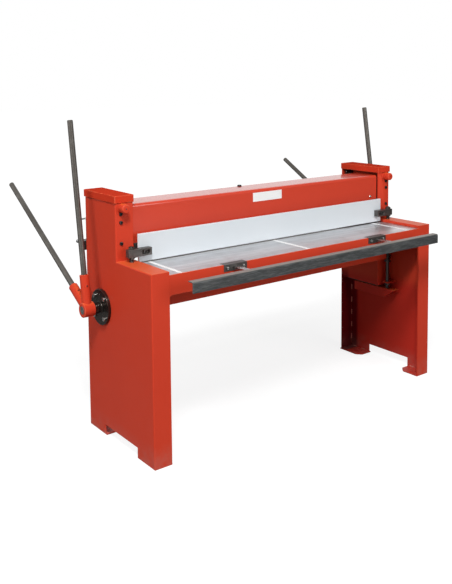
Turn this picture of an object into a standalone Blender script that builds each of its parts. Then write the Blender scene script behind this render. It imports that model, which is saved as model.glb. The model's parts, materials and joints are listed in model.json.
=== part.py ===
"""Hand lever shear for sheet metal, standing on its own two side frames.

Metres, Z up. X runs along the blades and Y runs back from the front faces of the legs.
Every piece is drawn in the machine's frame: Y is 0 at the front of the legs, Z is 0 at the floor.
The empty named machine then shifts the whole, so the origin lies under the middle of its box.
Two hand levers at each end turn a cross shaft. Its cranks draw the slide plates down in the columns,
and the slide plates carry the blade beam. Two sprung rods press the hold-down plate on the sheet.
"""

import math

import bmesh
import bpy
from mathutils import Matrix, Vector

# Fits
SEAT = 0.0003               # gap between faces that rest on each other
PLAY = 0.0005               # gap beside a turning or sliding face
PAST = 0.004                # how far a cut runs past the faces that it opens
WELD_DISTANCE = 0.00001     # points closer than this are one point

# Facets
ROUND_SIDES = 32
SMALL_SIDES = 16
SCREW_SIDES = 12
HEX_SIDES = 6
BEND_STEPS = 4
BEND_PROFILE_SHARE = 0.5    # a round bend

# Side frames
BED_WIDTH = 1.350           # clear width between the inner edges of the two columns
FLANGE_WIDTH = 0.075        # width of the folded flanges
FRAME_PLATE = 0.006         # plate that the side frames are made of
FRAME_DEPTH = 0.490
COLUMN_DEPTH = 0.243        # the column takes the rear of the frame, the table the rest
SHOULDER_HEIGHT = 0.707
COLUMN_RISE = 0.219         # column above the shoulder
COLUMN_TAIL = 0.134         # column flange below the shaft's axis
FRONT_FOOT_DEPTH = 0.117
REAR_FOOT_DEPTH = 0.126
NOTCH_HEIGHT = 0.041        # notch in the lower edge of the wall, between the feet
FRAME_BEND = 0.005

# Inner plates that close the columns under the bed
INNER_PLATE_INSET = 0.003
INNER_PLATE_DROP = 0.047    # top of the plate below the shoulder
INNER_PLATE_RELIEF = 0.006  # hole round the shaft

# Foot plates and their anchor holes
FOOT_PLATE = 0.006
FRONT_FOOT_OVERHANG = 0.003
REAR_FOOT_OVERHANG = 0.010
FRONT_FOOT_SETBACK = 0.010
REAR_FOOT_ADVANCE = 0.009
FOOT_CHAMFER = 0.024
ANCHOR_HOLE_RADIUS = 0.006
ANCHOR_INSET = 0.030        # hole from the inside of the wall
ANCHOR_SETBACK = 0.036      # hole from the end of the plate
ANCHOR_PITCH = 0.027

# Column caps
CAP_HEIGHT = 0.029
CAP_LIP = 0.0035
CAP_LID = 0.006
CAP_EDGE = 0.0015

# Bosses near the top of the columns
BOSS_RADIUS = 0.017
BOSS_LENGTH = 0.035
BOSS_INSET = 0.028
BOSS_DROP = 0.018
BOSS_EDGE = 0.003
BOSS_HOLE_RADIUS = 0.0025
BOSS_HOLE_DEPTH = 0.005

# Cross shaft, bushes and bearings
SHAFT_RADIUS = 0.016
SHAFT_SETBACK = 0.117       # axis behind the front of the column
SHAFT_DROP = 0.195          # axis below the shoulder
BUSH_WALL = 0.0034
BEARING_FLANGE_RADIUS = 0.0695
BEARING_FLANGE_THICKNESS = 0.0117
BEARING_FLANGE_EDGE = 0.0015
BEARING_BOSS_RADIUS = 0.0225
BEARING_REACH = 0.0417      # end of the bearing from the side of the frame
BEARING_SCREW_CIRCLE = 0.054
BEARING_SCREW_COUNT = 4
BEARING_SCREW_ANGLE = math.radians(45)

# Lever hubs, sockets and levers
HUB_RADIUS = 0.028
HUB_LENGTH = 0.045
HUB_EDGE = 0.002
SOCKET_RADIUS = 0.018
SOCKET_REACH = 0.133
SOCKET_FLOOR = 0.045
LEVER_RADIUS = 0.011
LEVER_EDGE = 0.0015
UPRIGHT_LEVER_REACH = 0.726
REAR_LEVER_REACH = 0.827
UPRIGHT_LEVER_ANGLE = math.radians(81.5)
REAR_LEVER_ANGLE = math.radians(29.5)

# Cranks on the cross shaft
LEVER_SWING = math.radians(69)
CRANK_RADIUS = 0.053
CRANK_HUB_RADIUS = 0.028
CRANK_EYE_RADIUS = 0.018
CRANK_PIN_RADIUS = 0.011

# Slide plates, gibs and rear guides in the columns
SLIDE_INSET = 0.028         # outer face of the slide plate from the inside of the wall
SLIDE_THICKNESS = 0.016
SLIDE_TOP_DROP = 0.021
SHAFT_SLOT_PLAY = 0.002
YOKE_PLAY = 0.001           # above and below the crank pin
YOKE_END_PLAY = 0.0015      # before and behind the crank pin
GIB_INSET = 0.015
GIB_WIDTH = 0.045
GIB_THICKNESS = 0.010
GIB_RISE = 0.033            # lower end of the gib above the shoulder
GIB_TOP_DROP = 0.026
REAR_GUIDE_TOP_DROP = 0.006

# Lifter feet on the slide plates
LIFTER_HEIGHT = 0.043
LIFTER_WIDTH = 0.040
LIFTER_CLEAR = 0.010        # top of the foot below the column flange
LIFTER_NOSE = 0.054         # tip of the foot ahead of the rod
LIFTER_SLANT = 0.064
LIFTER_TAIL = 0.048         # foot behind the shaft's axis

# Blade beam
BEAM_END_GAP = 0.003
BEAM_PLATE = 0.010
BEAM_DEPTH = 0.138
BEAM_TOP_DROP = 0.010
BEAM_LIP = 0.056
BEAM_BEND = 0.012
BEAM_ABOVE_EDGE = 0.010     # lower edge of the beam above the cutting edge
BEAM_END_PLATE = 0.012
BEAM_END_RISE = 0.050       # lower end of the end plates above the shoulder
BEAM_RIB = 0.008
BEAM_RIB_DROP = 0.120
BEAM_RIB_SHARES = (-0.72, -0.24, 0.24, 0.72)
LINK_LENGTH = 0.110
LINK_SETBACK = 0.0085
LINK_TOP_DROP = 0.026
LINK_HEIGHT = 0.140

# Blades
SHEAR_INSET = 0.001         # cutting plane ahead of the column face
BLADE_CLEARANCE = 0.0005
LOWER_BLADE_THICKNESS = 0.0192
LOWER_BLADE_HEIGHT = 0.050
UPPER_BLADE_THICKNESS = 0.010
UPPER_BLADE_HEIGHT = 0.055
BLADE_OPEN_LEFT = 0.018     # cutting edge above the table
BLADE_OPEN_RIGHT = 0.053

# Bed
TABLE_DROP = 0.013          # table below the shoulder
TABLE_PLATE = 0.010
TABLE_SEAM = 0.100
RAIL_HEIGHT = 0.073
RAIL_LEDGE = 0.030
RAIL_CORNER = 0.010
SUPPORT_THICKNESS = 0.022
SUPPORT_HEIGHT = 0.167
SUPPORT_TONGUE = 0.012      # support plate past the column's inner edge
SUPPORT_PAD_INSET = 0.015
SUPPORT_PAD_HEIGHT = 0.115
SUPPORT_PAD_DROP = 0.004
RIB_THICKNESS = 0.006
RIB_FRONT_HEIGHT = 0.034
RIB_REAR_HEIGHT = 0.084
RIB_END_INSET = 0.020
RIB_MIDDLE_OFFSET = 0.220

# Hold-down plate, brackets, rods and springs
HOLD_SETBACK = 0.022        # front of the plate ahead of the cutting plane
HOLD_THICKNESS = 0.009
HOLD_HEIGHT = 0.107
HOLD_END_GAP = 0.008
HOLD_OPEN = 0.005           # plate above the table
BRACKET_DEPTH = 0.0237
BRACKET_HEIGHT = 0.029
BRACKET_RISE = 0.019        # bracket above the shoulder
BRACKET_INSET = 0.053
BRACKET_REACH = 0.047
BRACKET_SLOT_INSET = 0.042
BRACKET_SLOT_LENGTH = 0.030
BRACKET_SLOT_RADIUS = 0.0035
BRACKET_STEP_RADIUS = 0.006
BRACKET_STEP_DEPTH = 0.012
ROD_RADIUS = 0.008
ROD_OFFSET = 0.030          # rod outboard of the column's inner edge
ROD_STAND = 0.022           # rod above the bracket
NUT_RADIUS = 0.0135
NUT_HEIGHT = 0.008
JAM_NUT_HEIGHT = 0.006
COLLAR_HEIGHT = 0.007
COLLAR_DROP = 0.195         # top of the collar below the shoulder plate
SPRING_RADIUS = 0.0155
SPRING_WIRE_RADIUS = 0.00175
SPRING_CURLS = 18
SPRING_CURL_POINTS = 9
ROD_GUIDE_PLATE = 0.006
ROD_GUIDE_DEPTH = 0.036
ROD_GUIDE_RISE = 0.017      # guide above the lower end of the column flange
ROD_GUIDE_INSET = 0.015
ROD_GUIDE_PLAY = 0.0008
GUIDE_NUT_GAP = 0.003

# Front bar, its arms and their blocks in the rail
BAR_REACH = 0.120
BAR_END_GAP = 0.018
BAR_DROP = 0.004
BAR_HEIGHT = 0.040
BAR_DEPTH = 0.029
BAR_WALL = 0.004
BAR_BEND = 0.007
ARM_WIDTH = 0.025
ARM_HEIGHT = 0.010
ARM_TAIL = 0.100
ARM_LEFT_INSET = 0.294
ARM_RIGHT_INSET = 0.2795
BLOCK_WIDTH = 0.108
BLOCK_HEIGHT = 0.026
BLOCK_DEPTH = 0.030
BLOCK_STAND = 0.002
BLOCK_SCREW_OFFSET = 0.038

# Back gauge
GAUGE_ROD_RADIUS = 0.008
GAUGE_ROD_OFFSET = 0.025
GAUGE_ROD_DROP = 0.019      # above the table
GAUGE_ROD_LENGTH = 0.177    # behind the frame
GAUGE_ROD_TAIL = 0.0085     # inside the column
GAUGE_NUT_HEIGHT = 0.006
GAUGE_BLOCK_START = 0.082   # behind the frame
GAUGE_BLOCK_DEPTH = 0.040
GAUGE_BLOCK_WIDTH = 0.036
GAUGE_BLOCK_BELOW = 0.021
GAUGE_BLOCK_ABOVE = 0.017
GAUGE_BAR_HEIGHT = 0.038
GAUGE_BAR_WALL = 0.006
GAUGE_BAR_BEND = 0.009
CLAMP_RADIUS = 0.004
CLAMP_SETBACK = 0.007       # clamp's axis behind the front of its block
CLAMP_HEIGHT = 0.090
CLAMP_REACH = 0.050
CLAMP_FALL = 0.010
CLAMP_BEND = 0.008

# Screws: head radius, head height, shank radius
SMALL_SCREW = (0.0050, 0.0040, 0.0030)
SCREW = (0.0065, 0.0060, 0.0040)
SOCKET_RADIUS_SHARE = 0.55
SOCKET_DEPTH_SHARE = 0.5

# Places that follow from the sizes
INNER_X = BED_WIDTH / 2
OUTER_X = INNER_X + FLANGE_WIDTH
WALL_X = OUTER_X - FRAME_PLATE
COLUMN_TOP = SHOULDER_HEIGHT + COLUMN_RISE
LEG_STEP = FRAME_DEPTH - COLUMN_DEPTH
NOTCH_END = FRAME_DEPTH - REAR_FOOT_DEPTH
SHAFT_Y = LEG_STEP + SHAFT_SETBACK
SHAFT_Z = SHOULDER_HEIGHT - SHAFT_DROP
COLUMN_FLOOR = SHAFT_Z - COLUMN_TAIL
BUSH_BORE = SHAFT_RADIUS + SEAT
BUSH_RADIUS = BUSH_BORE + BUSH_WALL
BEARING_END_X = OUTER_X + BEARING_REACH
HUB_START_X = BEARING_END_X + SEAT
HUB_END_X = HUB_START_X + HUB_LENGTH
LEVER_X = HUB_START_X + HUB_LENGTH / 2
STROKE = 2 * CRANK_RADIUS * math.sin(LEVER_SWING / 2)
SLIDE_OUTER_X = WALL_X - SLIDE_INSET
SLIDE_INNER_X = SLIDE_OUTER_X - SLIDE_THICKNESS
SLIDE_FRONT_Y = LEG_STEP + FRAME_PLATE + GIB_THICKNESS + 2 * SEAT
SLIDE_REAR_Y = FRAME_DEPTH - FRAME_PLATE - GIB_THICKNESS - 2 * SEAT
TABLE_Z = SHOULDER_HEIGHT - TABLE_DROP
TABLE_UNDER = TABLE_Z - TABLE_PLATE
SHEAR_Y = LEG_STEP - SHEAR_INSET
LOWER_BLADE_REAR = SHEAR_Y - BLADE_CLEARANCE
LOWER_BLADE_FRONT = LOWER_BLADE_REAR - LOWER_BLADE_THICKNESS
SUPPORT_REAR = LOWER_BLADE_FRONT - SEAT
SUPPORT_FRONT = SUPPORT_REAR - SUPPORT_THICKNESS
BEAM_FRONT = SHEAR_Y + UPPER_BLADE_THICKNESS + SEAT
BEAM_BACK = BEAM_FRONT + BEAM_PLATE
BEAM_REAR = BEAM_FRONT + BEAM_DEPTH
BEAM_X = INNER_X - BEAM_END_GAP
BEAM_TOP = COLUMN_TOP - BEAM_TOP_DROP
HOLD_FRONT = SHEAR_Y - HOLD_SETBACK
HOLD_LOW = TABLE_Z + HOLD_OPEN
BRACKET_BACK = HOLD_FRONT - SEAT
BRACKET_FRONT = BRACKET_BACK - BRACKET_DEPTH
BRACKET_LOW = SHOULDER_HEIGHT + BRACKET_RISE
BRACKET_TOP = BRACKET_LOW + BRACKET_HEIGHT
BRACKET_MIDDLE = BRACKET_LOW + BRACKET_HEIGHT / 2
BRACKET_SLOT_X = INNER_X - BRACKET_SLOT_INSET + BRACKET_SLOT_LENGTH / 2
ROD_X = INNER_X + ROD_OFFSET
ROD_Y = BRACKET_FRONT + BRACKET_DEPTH / 2
LIFTER_TOP = COLUMN_FLOOR - LIFTER_CLEAR
LIFTER_X = (SLIDE_INNER_X + SLIDE_OUTER_X) / 2
ROD_LOW = LIFTER_TOP + SEAT
ROD_TOP = BRACKET_TOP + ROD_STAND
SHOULDER_UNDER = SHOULDER_HEIGHT - FRAME_PLATE
COLLAR_TOP = SHOULDER_UNDER - COLLAR_DROP
ROD_GUIDE_LOW = COLUMN_FLOOR + ROD_GUIDE_RISE
BAR_FRONT = -BAR_REACH
BAR_TOP = TABLE_Z - BAR_DROP
ARM_TOP = TABLE_UNDER - SEAT
ARM_PLACES = (-INNER_X + ARM_LEFT_INSET, INNER_X - ARM_RIGHT_INSET)
BLOCK_LOW = TABLE_Z - BLOCK_HEIGHT
GAUGE_X = INNER_X + GAUGE_ROD_OFFSET
GAUGE_Z = TABLE_Z + GAUGE_ROD_DROP
GAUGE_FRONT = FRAME_DEPTH + GAUGE_BLOCK_START
GAUGE_REAR = GAUGE_FRONT + GAUGE_BLOCK_DEPTH
GAUGE_TOP = GAUGE_Z + GAUGE_BLOCK_ABOVE
CLAMP_Y = GAUGE_FRONT + CLAMP_SETBACK
REAR_TIP_Y = (SHAFT_Y + REAR_LEVER_REACH * math.cos(REAR_LEVER_ANGLE)
              + (LEVER_RADIUS - LEVER_EDGE) * math.sin(REAR_LEVER_ANGLE))
MACHINE_SHIFT = -(BAR_FRONT + REAR_TIP_Y) / 2

SIDES = ((-1, "left"), (1, "right"))


def clear_scene():
    """Removes what the file starts with."""
    for thing in list(bpy.data.objects):
        bpy.data.objects.remove(thing, do_unlink=True)
    for blocks in (bpy.data.meshes, bpy.data.curves, bpy.data.materials, bpy.data.collections):
        for block in list(blocks):
            blocks.remove(block)


def finish(name, colour, roughness, metallic):
    """Makes a material of one colour."""
    material = bpy.data.materials.new(name)
    material.use_nodes = True
    shader = material.node_tree.nodes["Principled BSDF"]
    shader.inputs["Base Color"].default_value = (*colour, 1)
    shader.inputs["Roughness"].default_value = roughness
    shader.inputs["Metallic"].default_value = metallic
    return material


def span(side, near, far):
    """Orders two distances from the middle plane as a low and a high X on one side."""
    return tuple(sorted((side * near, side * far)))


def circle(centre, radius, sides=SMALL_SIDES):
    """Lists the points of a circle in a plane."""
    turn = 2 * math.pi / sides
    return [(centre[0] + radius * math.cos(turn * i), centre[1] + radius * math.sin(turn * i))
            for i in range(sides)]


def arc(centre, radius, start, end, steps=BEND_STEPS):
    """Lists the points of an arc, both ends included."""
    return [(centre[0] + radius * math.cos(start + (end - start) * i / steps),
             centre[1] + radius * math.sin(start + (end - start) * i / steps))
            for i in range(steps + 1)]


def rectangle(first, second):
    """Lists the corners of a rectangle from its two (low, high) ranges."""
    return [(first[0], second[0]), (first[1], second[0]), (first[1], second[1]), (first[0], second[1])]


def slot(first, second):
    """Lists the points of a slot whose round ends lie along its longer range."""
    radius = min(first[1] - first[0], second[1] - second[0]) / 2
    half = math.pi / 2
    steps = SCREW_SIDES // 2
    if first[1] - first[0] > second[1] - second[0]:
        level = (second[0] + second[1]) / 2
        return (arc((first[1] - radius, level), radius, -half, half, steps)
                + arc((first[0] + radius, level), radius, half, 3 * half, steps))
    level = (first[0] + first[1]) / 2
    return (arc((level, second[1] - radius), radius, 0, 2 * half, steps)
            + arc((level, second[0] + radius), radius, 2 * half, 4 * half, steps))


def link(start, start_radius, end, end_radius):
    """Lists the outline of a crank arm: two round ends joined by their common tangents."""
    reach = math.dist(start, end)
    heading = math.atan2(end[1] - start[1], end[0] - start[0])
    lean = math.acos((start_radius - end_radius) / reach)
    return (arc(end, end_radius, heading - lean, heading + lean, SMALL_SIDES // 2)
            + arc(start, start_radius, heading + lean, heading + 2 * math.pi - lean, SMALL_SIDES))


def angle_section(front, top, height, depth, wall, bend):
    """Lists a folded angle's section in Y and Z: an upright at the front and a flange on top."""
    hinge = (front + bend, top - bend)
    right = math.pi / 2
    return ([(front, top - height)]
            + arc(hinge, bend, 2 * right, right)
            + [(front + depth, top), (front + depth, top - wall)]
            + arc(hinge, bend - wall, right, 2 * right)
            + [(front + wall, top - height)])


def turn_axis(side):
    """Turns a shape drawn along Z so that it runs outward along X on one side."""
    return Matrix.Rotation(side * math.pi / 2, 4, "Y")


class Drawing:
    """A solid while it is drawn, in the machine's frame."""

    PLANES = {
        "XY": (Matrix.Identity(4), Vector((0, 0, 1))),
        "XZ": (Matrix(((1, 0, 0, 0), (0, 0, -1, 0), (0, 1, 0, 0), (0, 0, 0, 1))), Vector((0, 1, 0))),
        "YZ": (Matrix(((0, 0, 1, 0), (1, 0, 0, 0), (0, 1, 0, 0), (0, 0, 0, 1))), Vector((1, 0, 0))),
    }

    def __init__(self):
        self.bm = bmesh.new()

    def box(self, x, y, z):
        """Adds a box over three (low, high) ranges."""
        verts = bmesh.ops.create_cube(self.bm, size=1)["verts"]
        bmesh.ops.scale(self.bm, vec=(x[1] - x[0], y[1] - y[0], z[1] - z[0]), verts=verts)
        bmesh.ops.translate(self.bm, vec=((x[0] + x[1]) / 2, (y[0] + y[1]) / 2, (z[0] + z[1]) / 2),
                            verts=verts)
        return self

    def rod(self, start, end, radius, sides=SMALL_SIDES, end_radius=None):
        """Adds a cylinder or a cone between two points."""
        start, end = Vector(start), Vector(end)
        axis = end - start
        verts = bmesh.ops.create_cone(self.bm, cap_ends=True, segments=sides, radius1=radius,
                                      radius2=radius if end_radius is None else end_radius,
                                      depth=axis.length)["verts"]
        turn = Vector((0, 0, 1)).rotation_difference(axis).to_matrix()
        bmesh.ops.rotate(self.bm, cent=(0, 0, 0), matrix=turn, verts=verts)
        bmesh.ops.translate(self.bm, vec=(start + end) / 2, verts=verts)
        return self

    def plate(self, outlines, plane, low, high):
        """Adds a flat plate from its outline and its holes, between two levels square to its plane."""
        curve = bpy.data.curves.new("outline", "CURVE")
        curve.dimensions = "2D"
        curve.fill_mode = "BOTH"
        curve.extrude = (high - low) / 2
        for outline in outlines:
            spline = curve.splines.new("POLY")
            spline.points.add(len(outline) - 1)
            for point, (first, second) in zip(spline.points, outline):
                point.co = (first, second, 0, 1)
            spline.use_cyclic_u = True
        turn, normal = self.PLANES[plane]
        self.take(curve, Matrix.Translation(normal * (low + high) / 2) @ turn)
        return self

    def turned(self, profile, place, sides=ROUND_SIDES):
        """Adds a turned shape from its (radius, height) profile, closed to a loop where it has a bore."""
        mesh = bpy.data.meshes.new("profile")
        edges = [(i, i + 1) for i in range(len(profile) - 1)]
        if min(radius for radius, height in profile) > 0:
            edges.append((len(profile) - 1, 0))
        mesh.from_pydata([(radius, 0, height) for radius, height in profile], edges, [])
        guide = bpy.data.objects.new("profile", mesh)
        bpy.context.scene.collection.objects.link(guide)
        screw = guide.modifiers.new("turn", "SCREW")
        screw.steps = sides
        screw.render_steps = sides
        screw.use_merge_vertices = True
        screw.merge_threshold = WELD_DISTANCE
        self.absorb(guide, place)
        bpy.data.meshes.remove(mesh)
        return self

    def take(self, data, place):
        """Adds the shape of a curve."""
        guide = bpy.data.objects.new("guide", data)
        bpy.context.scene.collection.objects.link(guide)
        self.absorb(guide, place)
        bpy.data.curves.remove(data)

    def absorb(self, guide, place):
        """Adds an object's evaluated mesh, with its seams welded, and removes the object."""
        graph = bpy.context.evaluated_depsgraph_get()
        mesh = bpy.data.meshes.new_from_object(guide.evaluated_get(graph))
        mesh.transform(place)
        bpy.data.objects.remove(guide)
        known = len(self.bm.verts)
        self.bm.from_mesh(mesh)
        bpy.data.meshes.remove(mesh)
        self.bm.verts.ensure_lookup_table()
        bmesh.ops.remove_doubles(self.bm, verts=self.bm.verts[known:], dist=WELD_DISTANCE)

    def mesh(self, name, origin):
        """Ends the drawing as a mesh whose points are measured from an origin."""
        bmesh.ops.recalc_face_normals(self.bm, faces=self.bm.faces)
        bmesh.ops.translate(self.bm, vec=-origin, verts=self.bm.verts)
        mesh = bpy.data.meshes.new(name)
        self.bm.to_mesh(mesh)
        self.bm.free()
        return mesh

    def middle(self):
        """Gives the middle of the drawing's box."""
        low = Vector(min(vert.co[i] for vert in self.bm.verts) for i in range(3))
        high = Vector(max(vert.co[i] for vert in self.bm.verts) for i in range(3))
        return (low + high) / 2


def empty(name, place, parent=None):
    """Makes an empty that carries pieces."""
    holder = bpy.data.objects.new(name, None)
    holder.location = place
    holder.parent = parent
    PARTS.objects.link(holder)
    return holder


def piece(name, drawing, material, carrier=None, smooth=False):
    """Makes a named piece, placed at the middle of its box under its carrier."""
    place = drawing.middle()
    obj = bpy.data.objects.new(name, drawing.mesh(name, place))
    obj.data.materials.append(material)
    PARTS.objects.link(obj)
    obj.parent = carrier or MACHINE
    obj.location = place - (carrier.location if carrier else Vector((0, 0, 0)))
    if smooth:
        obj.data.shade_smooth()
        obj.data.set_sharp_from_angle(angle=math.radians(35))
    return obj


def combine(target, drawing, operation):
    """Joins a drawing to a piece, or cuts it out, with a Boolean."""
    place = drawing.middle()
    tool = bpy.data.objects.new(f"{target.name}_{operation.lower()}", drawing.mesh("tool", place))
    tool.parent = MACHINE
    tool.location = place
    tool.hide_render = True
    tool.display_type = "WIRE"
    CUTTERS.objects.link(tool)
    step = target.modifiers.new(operation.lower(), "BOOLEAN")
    step.operation = operation
    step.solver = "EXACT"
    step.object = tool
    return target


def cut(target, drawing):
    """Cuts a drawing out of a piece."""
    return combine(target, drawing, "DIFFERENCE")


def weld(target, *drawings):
    """Joins drawings that overlap a piece to it."""
    for drawing in drawings:
        combine(target, drawing, "UNION")
    return target


def settle(target):
    """Applies a piece's Booleans, so that its edges can be worked."""
    bpy.context.view_layer.update()
    graph = bpy.context.evaluated_depsgraph_get()
    mesh = bpy.data.meshes.new_from_object(target.evaluated_get(graph))
    tools = [step.object for step in target.modifiers]
    target.modifiers.clear()
    target.data = mesh
    for tool in tools:
        bpy.data.objects.remove(tool)
    return target


def round_edges(target, chosen, radius, segments=BEND_STEPS):
    """Rounds the edges whose two ends, in the machine's frame, pass a test."""
    bm = bmesh.new()
    bm.from_mesh(target.data)
    bmesh.ops.dissolve_limit(bm, angle_limit=math.radians(1), verts=bm.verts, edges=bm.edges)
    edges = [edge for edge in bm.edges
             if edge.calc_face_angle(0) > math.radians(45)
             and all(chosen(vert.co + target.location) for vert in edge.verts)]
    bmesh.ops.bevel(bm, geom=edges, offset=radius, segments=segments, profile=BEND_PROFILE_SHARE, affect="EDGES",
                    clamp_overlap=True, material=-1)
    bm.to_mesh(target.data)
    bm.free()
    return target


def ease(target, width, segments=1):
    """Breaks all sharp edges of a piece."""
    step = target.modifiers.new("ease", "BEVEL")
    step.width = width
    step.segments = segments
    step.limit_method = "ANGLE"
    step.angle_limit = math.radians(40)
    return target


def near(value, level):
    """Tells whether a coordinate lies on a level."""
    return abs(value - level) < WELD_DISTANCE * 10


def screw(drawing, place, direction, size, length):
    """Adds a round-headed socket screw: place is where its head seats, and its shank runs along direction."""
    head_radius, head_height, shank_radius = size
    direction = Vector(direction)
    turn = Vector((0, 0, 1)).rotation_difference(direction).to_matrix().to_4x4()
    socket = head_radius * SOCKET_RADIUS_SHARE
    floor = head_height * SOCKET_DEPTH_SHARE
    profile = [(0, floor), (socket, floor), (socket, 0), (head_radius, 0), (head_radius, head_height),
               (shank_radius, head_height), (shank_radius, head_height + length),
               (0, head_height + length)]
    return drawing.turned(profile, Matrix.Translation(Vector(place) - direction * head_height) @ turn,
                          SCREW_SIDES)


def ring(place, direction, bore, radius, height, sides):
    """Draws a ring that starts at a point and runs along direction."""
    turn = Vector((0, 0, 1)).rotation_difference(Vector(direction)).to_matrix().to_4x4()
    profile = [(bore, 0), (radius, 0), (radius, height), (bore, height)]
    return Drawing().turned(profile, Matrix.Translation(place) @ turn, sides)


def cutting_edge(x):
    """Gives the height of the raked cutting edge at X."""
    share = (x + BEAM_X) / (2 * BEAM_X)
    return TABLE_Z + BLADE_OPEN_LEFT + (BLADE_OPEN_RIGHT - BLADE_OPEN_LEFT) * share


def crank_pin_place():
    """Gives the crank pin's Y and Z with the levers back and the beam up."""
    return (SHAFT_Y - CRANK_RADIUS * math.cos(LEVER_SWING / 2),
            SHAFT_Z + CRANK_RADIUS * math.sin(LEVER_SWING / 2))


def block_ranges(place, gap):
    """Gives the box of a bar block, grown by a gap."""
    return ((place - BLOCK_WIDTH / 2 - gap, place + BLOCK_WIDTH / 2 + gap),
            (-BLOCK_STAND - gap, BLOCK_DEPTH + gap), (BLOCK_LOW - gap, TABLE_Z + gap))


def foot_plate(side, held, free, overhang, anchor):
    """Draws a foot plate with its chamfered free corner and its two anchor holes."""
    into = FRAME_PLATE / 2
    far = WALL_X + into
    reach = INNER_X - overhang
    slant = math.copysign(FOOT_CHAMFER, held - free)
    outline = [(side * far, held), (side * far, free), (side * (reach + FOOT_CHAMFER), free),
               (side * reach, free + slant), (side * reach, held)]
    pitch = math.copysign(ANCHOR_PITCH, held - free)
    anchors = [circle((side * (WALL_X - ANCHOR_INSET), anchor + pitch * i), ANCHOR_HOLE_RADIUS)
               for i in range(2)]
    return Drawing().plate([outline, *anchors], "XY", 0, FOOT_PLATE)


def side_frame(side, word):
    """Builds a stepped side frame: a rounded block hollowed to a folded plate, and what is welded in it."""
    outline = [(0, 0), (FRAME_DEPTH, 0), (FRAME_DEPTH, COLUMN_TOP), (LEG_STEP, COLUMN_TOP),
               (LEG_STEP, SHOULDER_HEIGHT), (0, SHOULDER_HEIGHT)]
    block = Drawing().plate([outline], "YZ", *span(side, INNER_X, OUTER_X))
    frame = piece(f"side_frame_{word}", block, PAINT)

    def outer_bend(point):
        upright = (near(point.y, 0) or near(point.y, FRAME_DEPTH)
                   or (near(point.y, LEG_STEP) and point.z > SHOULDER_HEIGHT - PAST))
        shoulder = near(point.z, SHOULDER_HEIGHT) and point.y < LEG_STEP + PAST
        return near(abs(point.x), OUTER_X) and (upright or shoulder)

    round_edges(frame, outer_bend, FRAME_BEND)
    rear = FRAME_DEPTH - FRAME_PLATE
    behind = LEG_STEP + FRAME_PLATE
    hollow = [(FRAME_PLATE, -PAST), (rear, -PAST), (rear, COLUMN_TOP + PAST), (behind, COLUMN_TOP + PAST),
              (behind, COLUMN_FLOOR), (LEG_STEP, COLUMN_FLOOR), (LEG_STEP, SHOULDER_UNDER),
              (FRAME_PLATE, SHOULDER_UNDER)]
    cut(frame, Drawing().plate([hollow], "YZ", *span(side, INNER_X - PAST, WALL_X)))
    cut(frame, Drawing().box(span(side, WALL_X - PAST, OUTER_X + PAST), (FRONT_FOOT_DEPTH, NOTCH_END),
                             (-PAST, NOTCH_HEIGHT)))
    front_end = FRONT_FOOT_DEPTH - FRONT_FOOT_SETBACK
    rear_end = NOTCH_END - REAR_FOOT_ADVANCE
    weld(frame,
         foot_plate(side, FRAME_PLATE / 2, front_end, FRONT_FOOT_OVERHANG, front_end - ANCHOR_SETBACK),
         foot_plate(side, FRAME_DEPTH - FRAME_PLATE / 2, rear_end, REAR_FOOT_OVERHANG,
                    rear_end + ANCHOR_SETBACK))
    lug = rectangle(span(side, INNER_X + ROD_GUIDE_INSET, WALL_X + FRAME_PLATE / 2),
                    (ROD_Y - ROD_GUIDE_DEPTH / 2, ROD_Y + ROD_GUIDE_DEPTH / 2))
    lug_hole = circle((side * ROD_X, ROD_Y), ROD_RADIUS + ROD_GUIDE_PLAY)
    weld(frame, Drawing().plate([lug, lug_hole], "XY", ROD_GUIDE_LOW, ROD_GUIDE_LOW + ROD_GUIDE_PLATE))
    boss_x = side * (OUTER_X - BOSS_INSET)
    boss_z = COLUMN_TOP - BOSS_DROP
    tip = LEG_STEP - BOSS_LENGTH
    profile = [(0, 0), (BOSS_RADIUS - BOSS_EDGE, 0), (BOSS_RADIUS, BOSS_EDGE),
               (BOSS_RADIUS, BOSS_LENGTH + FRAME_PLATE / 2), (0, BOSS_LENGTH + FRAME_PLATE / 2)]
    turn = Matrix.Rotation(-math.pi / 2, 4, "X")
    weld(frame, Drawing().turned(profile, Matrix.Translation((boss_x, tip, boss_z)) @ turn, SMALL_SIDES))
    cut(frame, Drawing().rod((boss_x, tip - PAST, boss_z), (boss_x, tip + BOSS_HOLE_DEPTH, boss_z),
                             BOSS_HOLE_RADIUS, SCREW_SIDES))
    cut(frame, Drawing().rod((side * (WALL_X - PAST), SHAFT_Y, SHAFT_Z),
                             (side * (OUTER_X + PAST), SHAFT_Y, SHAFT_Z), BUSH_RADIUS + SEAT, ROUND_SIDES))
    cut(frame, Drawing().rod((side * ROD_X, ROD_Y, SHOULDER_UNDER - PAST),
                             (side * ROD_X, ROD_Y, SHOULDER_HEIGHT + PAST), ROD_RADIUS + ROD_GUIDE_PLAY))
    cut(frame, Drawing().rod((side * GAUGE_X, FRAME_DEPTH - FRAME_PLATE - PAST, GAUGE_Z),
                             (side * GAUGE_X, FRAME_DEPTH + PAST, GAUGE_Z), GAUGE_ROD_RADIUS + SEAT))
    settle(frame)


def column_cap(side, word):
    """Builds the lid on a column: a tray turned over, with its rim on the column's walls."""
    rim = FRAME_PLATE + CAP_LIP
    x = span(side, INNER_X - CAP_LIP, OUTER_X + CAP_LIP)
    y = (LEG_STEP - CAP_LIP, FRAME_DEPTH + CAP_LIP)
    z = (COLUMN_TOP + SEAT, COLUMN_TOP + CAP_HEIGHT)
    cap = piece(f"column_cap_{word}", Drawing().box(x, y, z), PAINT)
    ease(cap, CAP_EDGE)
    cut(cap, Drawing().box((x[0] + rim, x[1] - rim), (y[0] + rim, y[1] - rim), (z[0] - PAST, z[1] - CAP_LID)))


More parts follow.
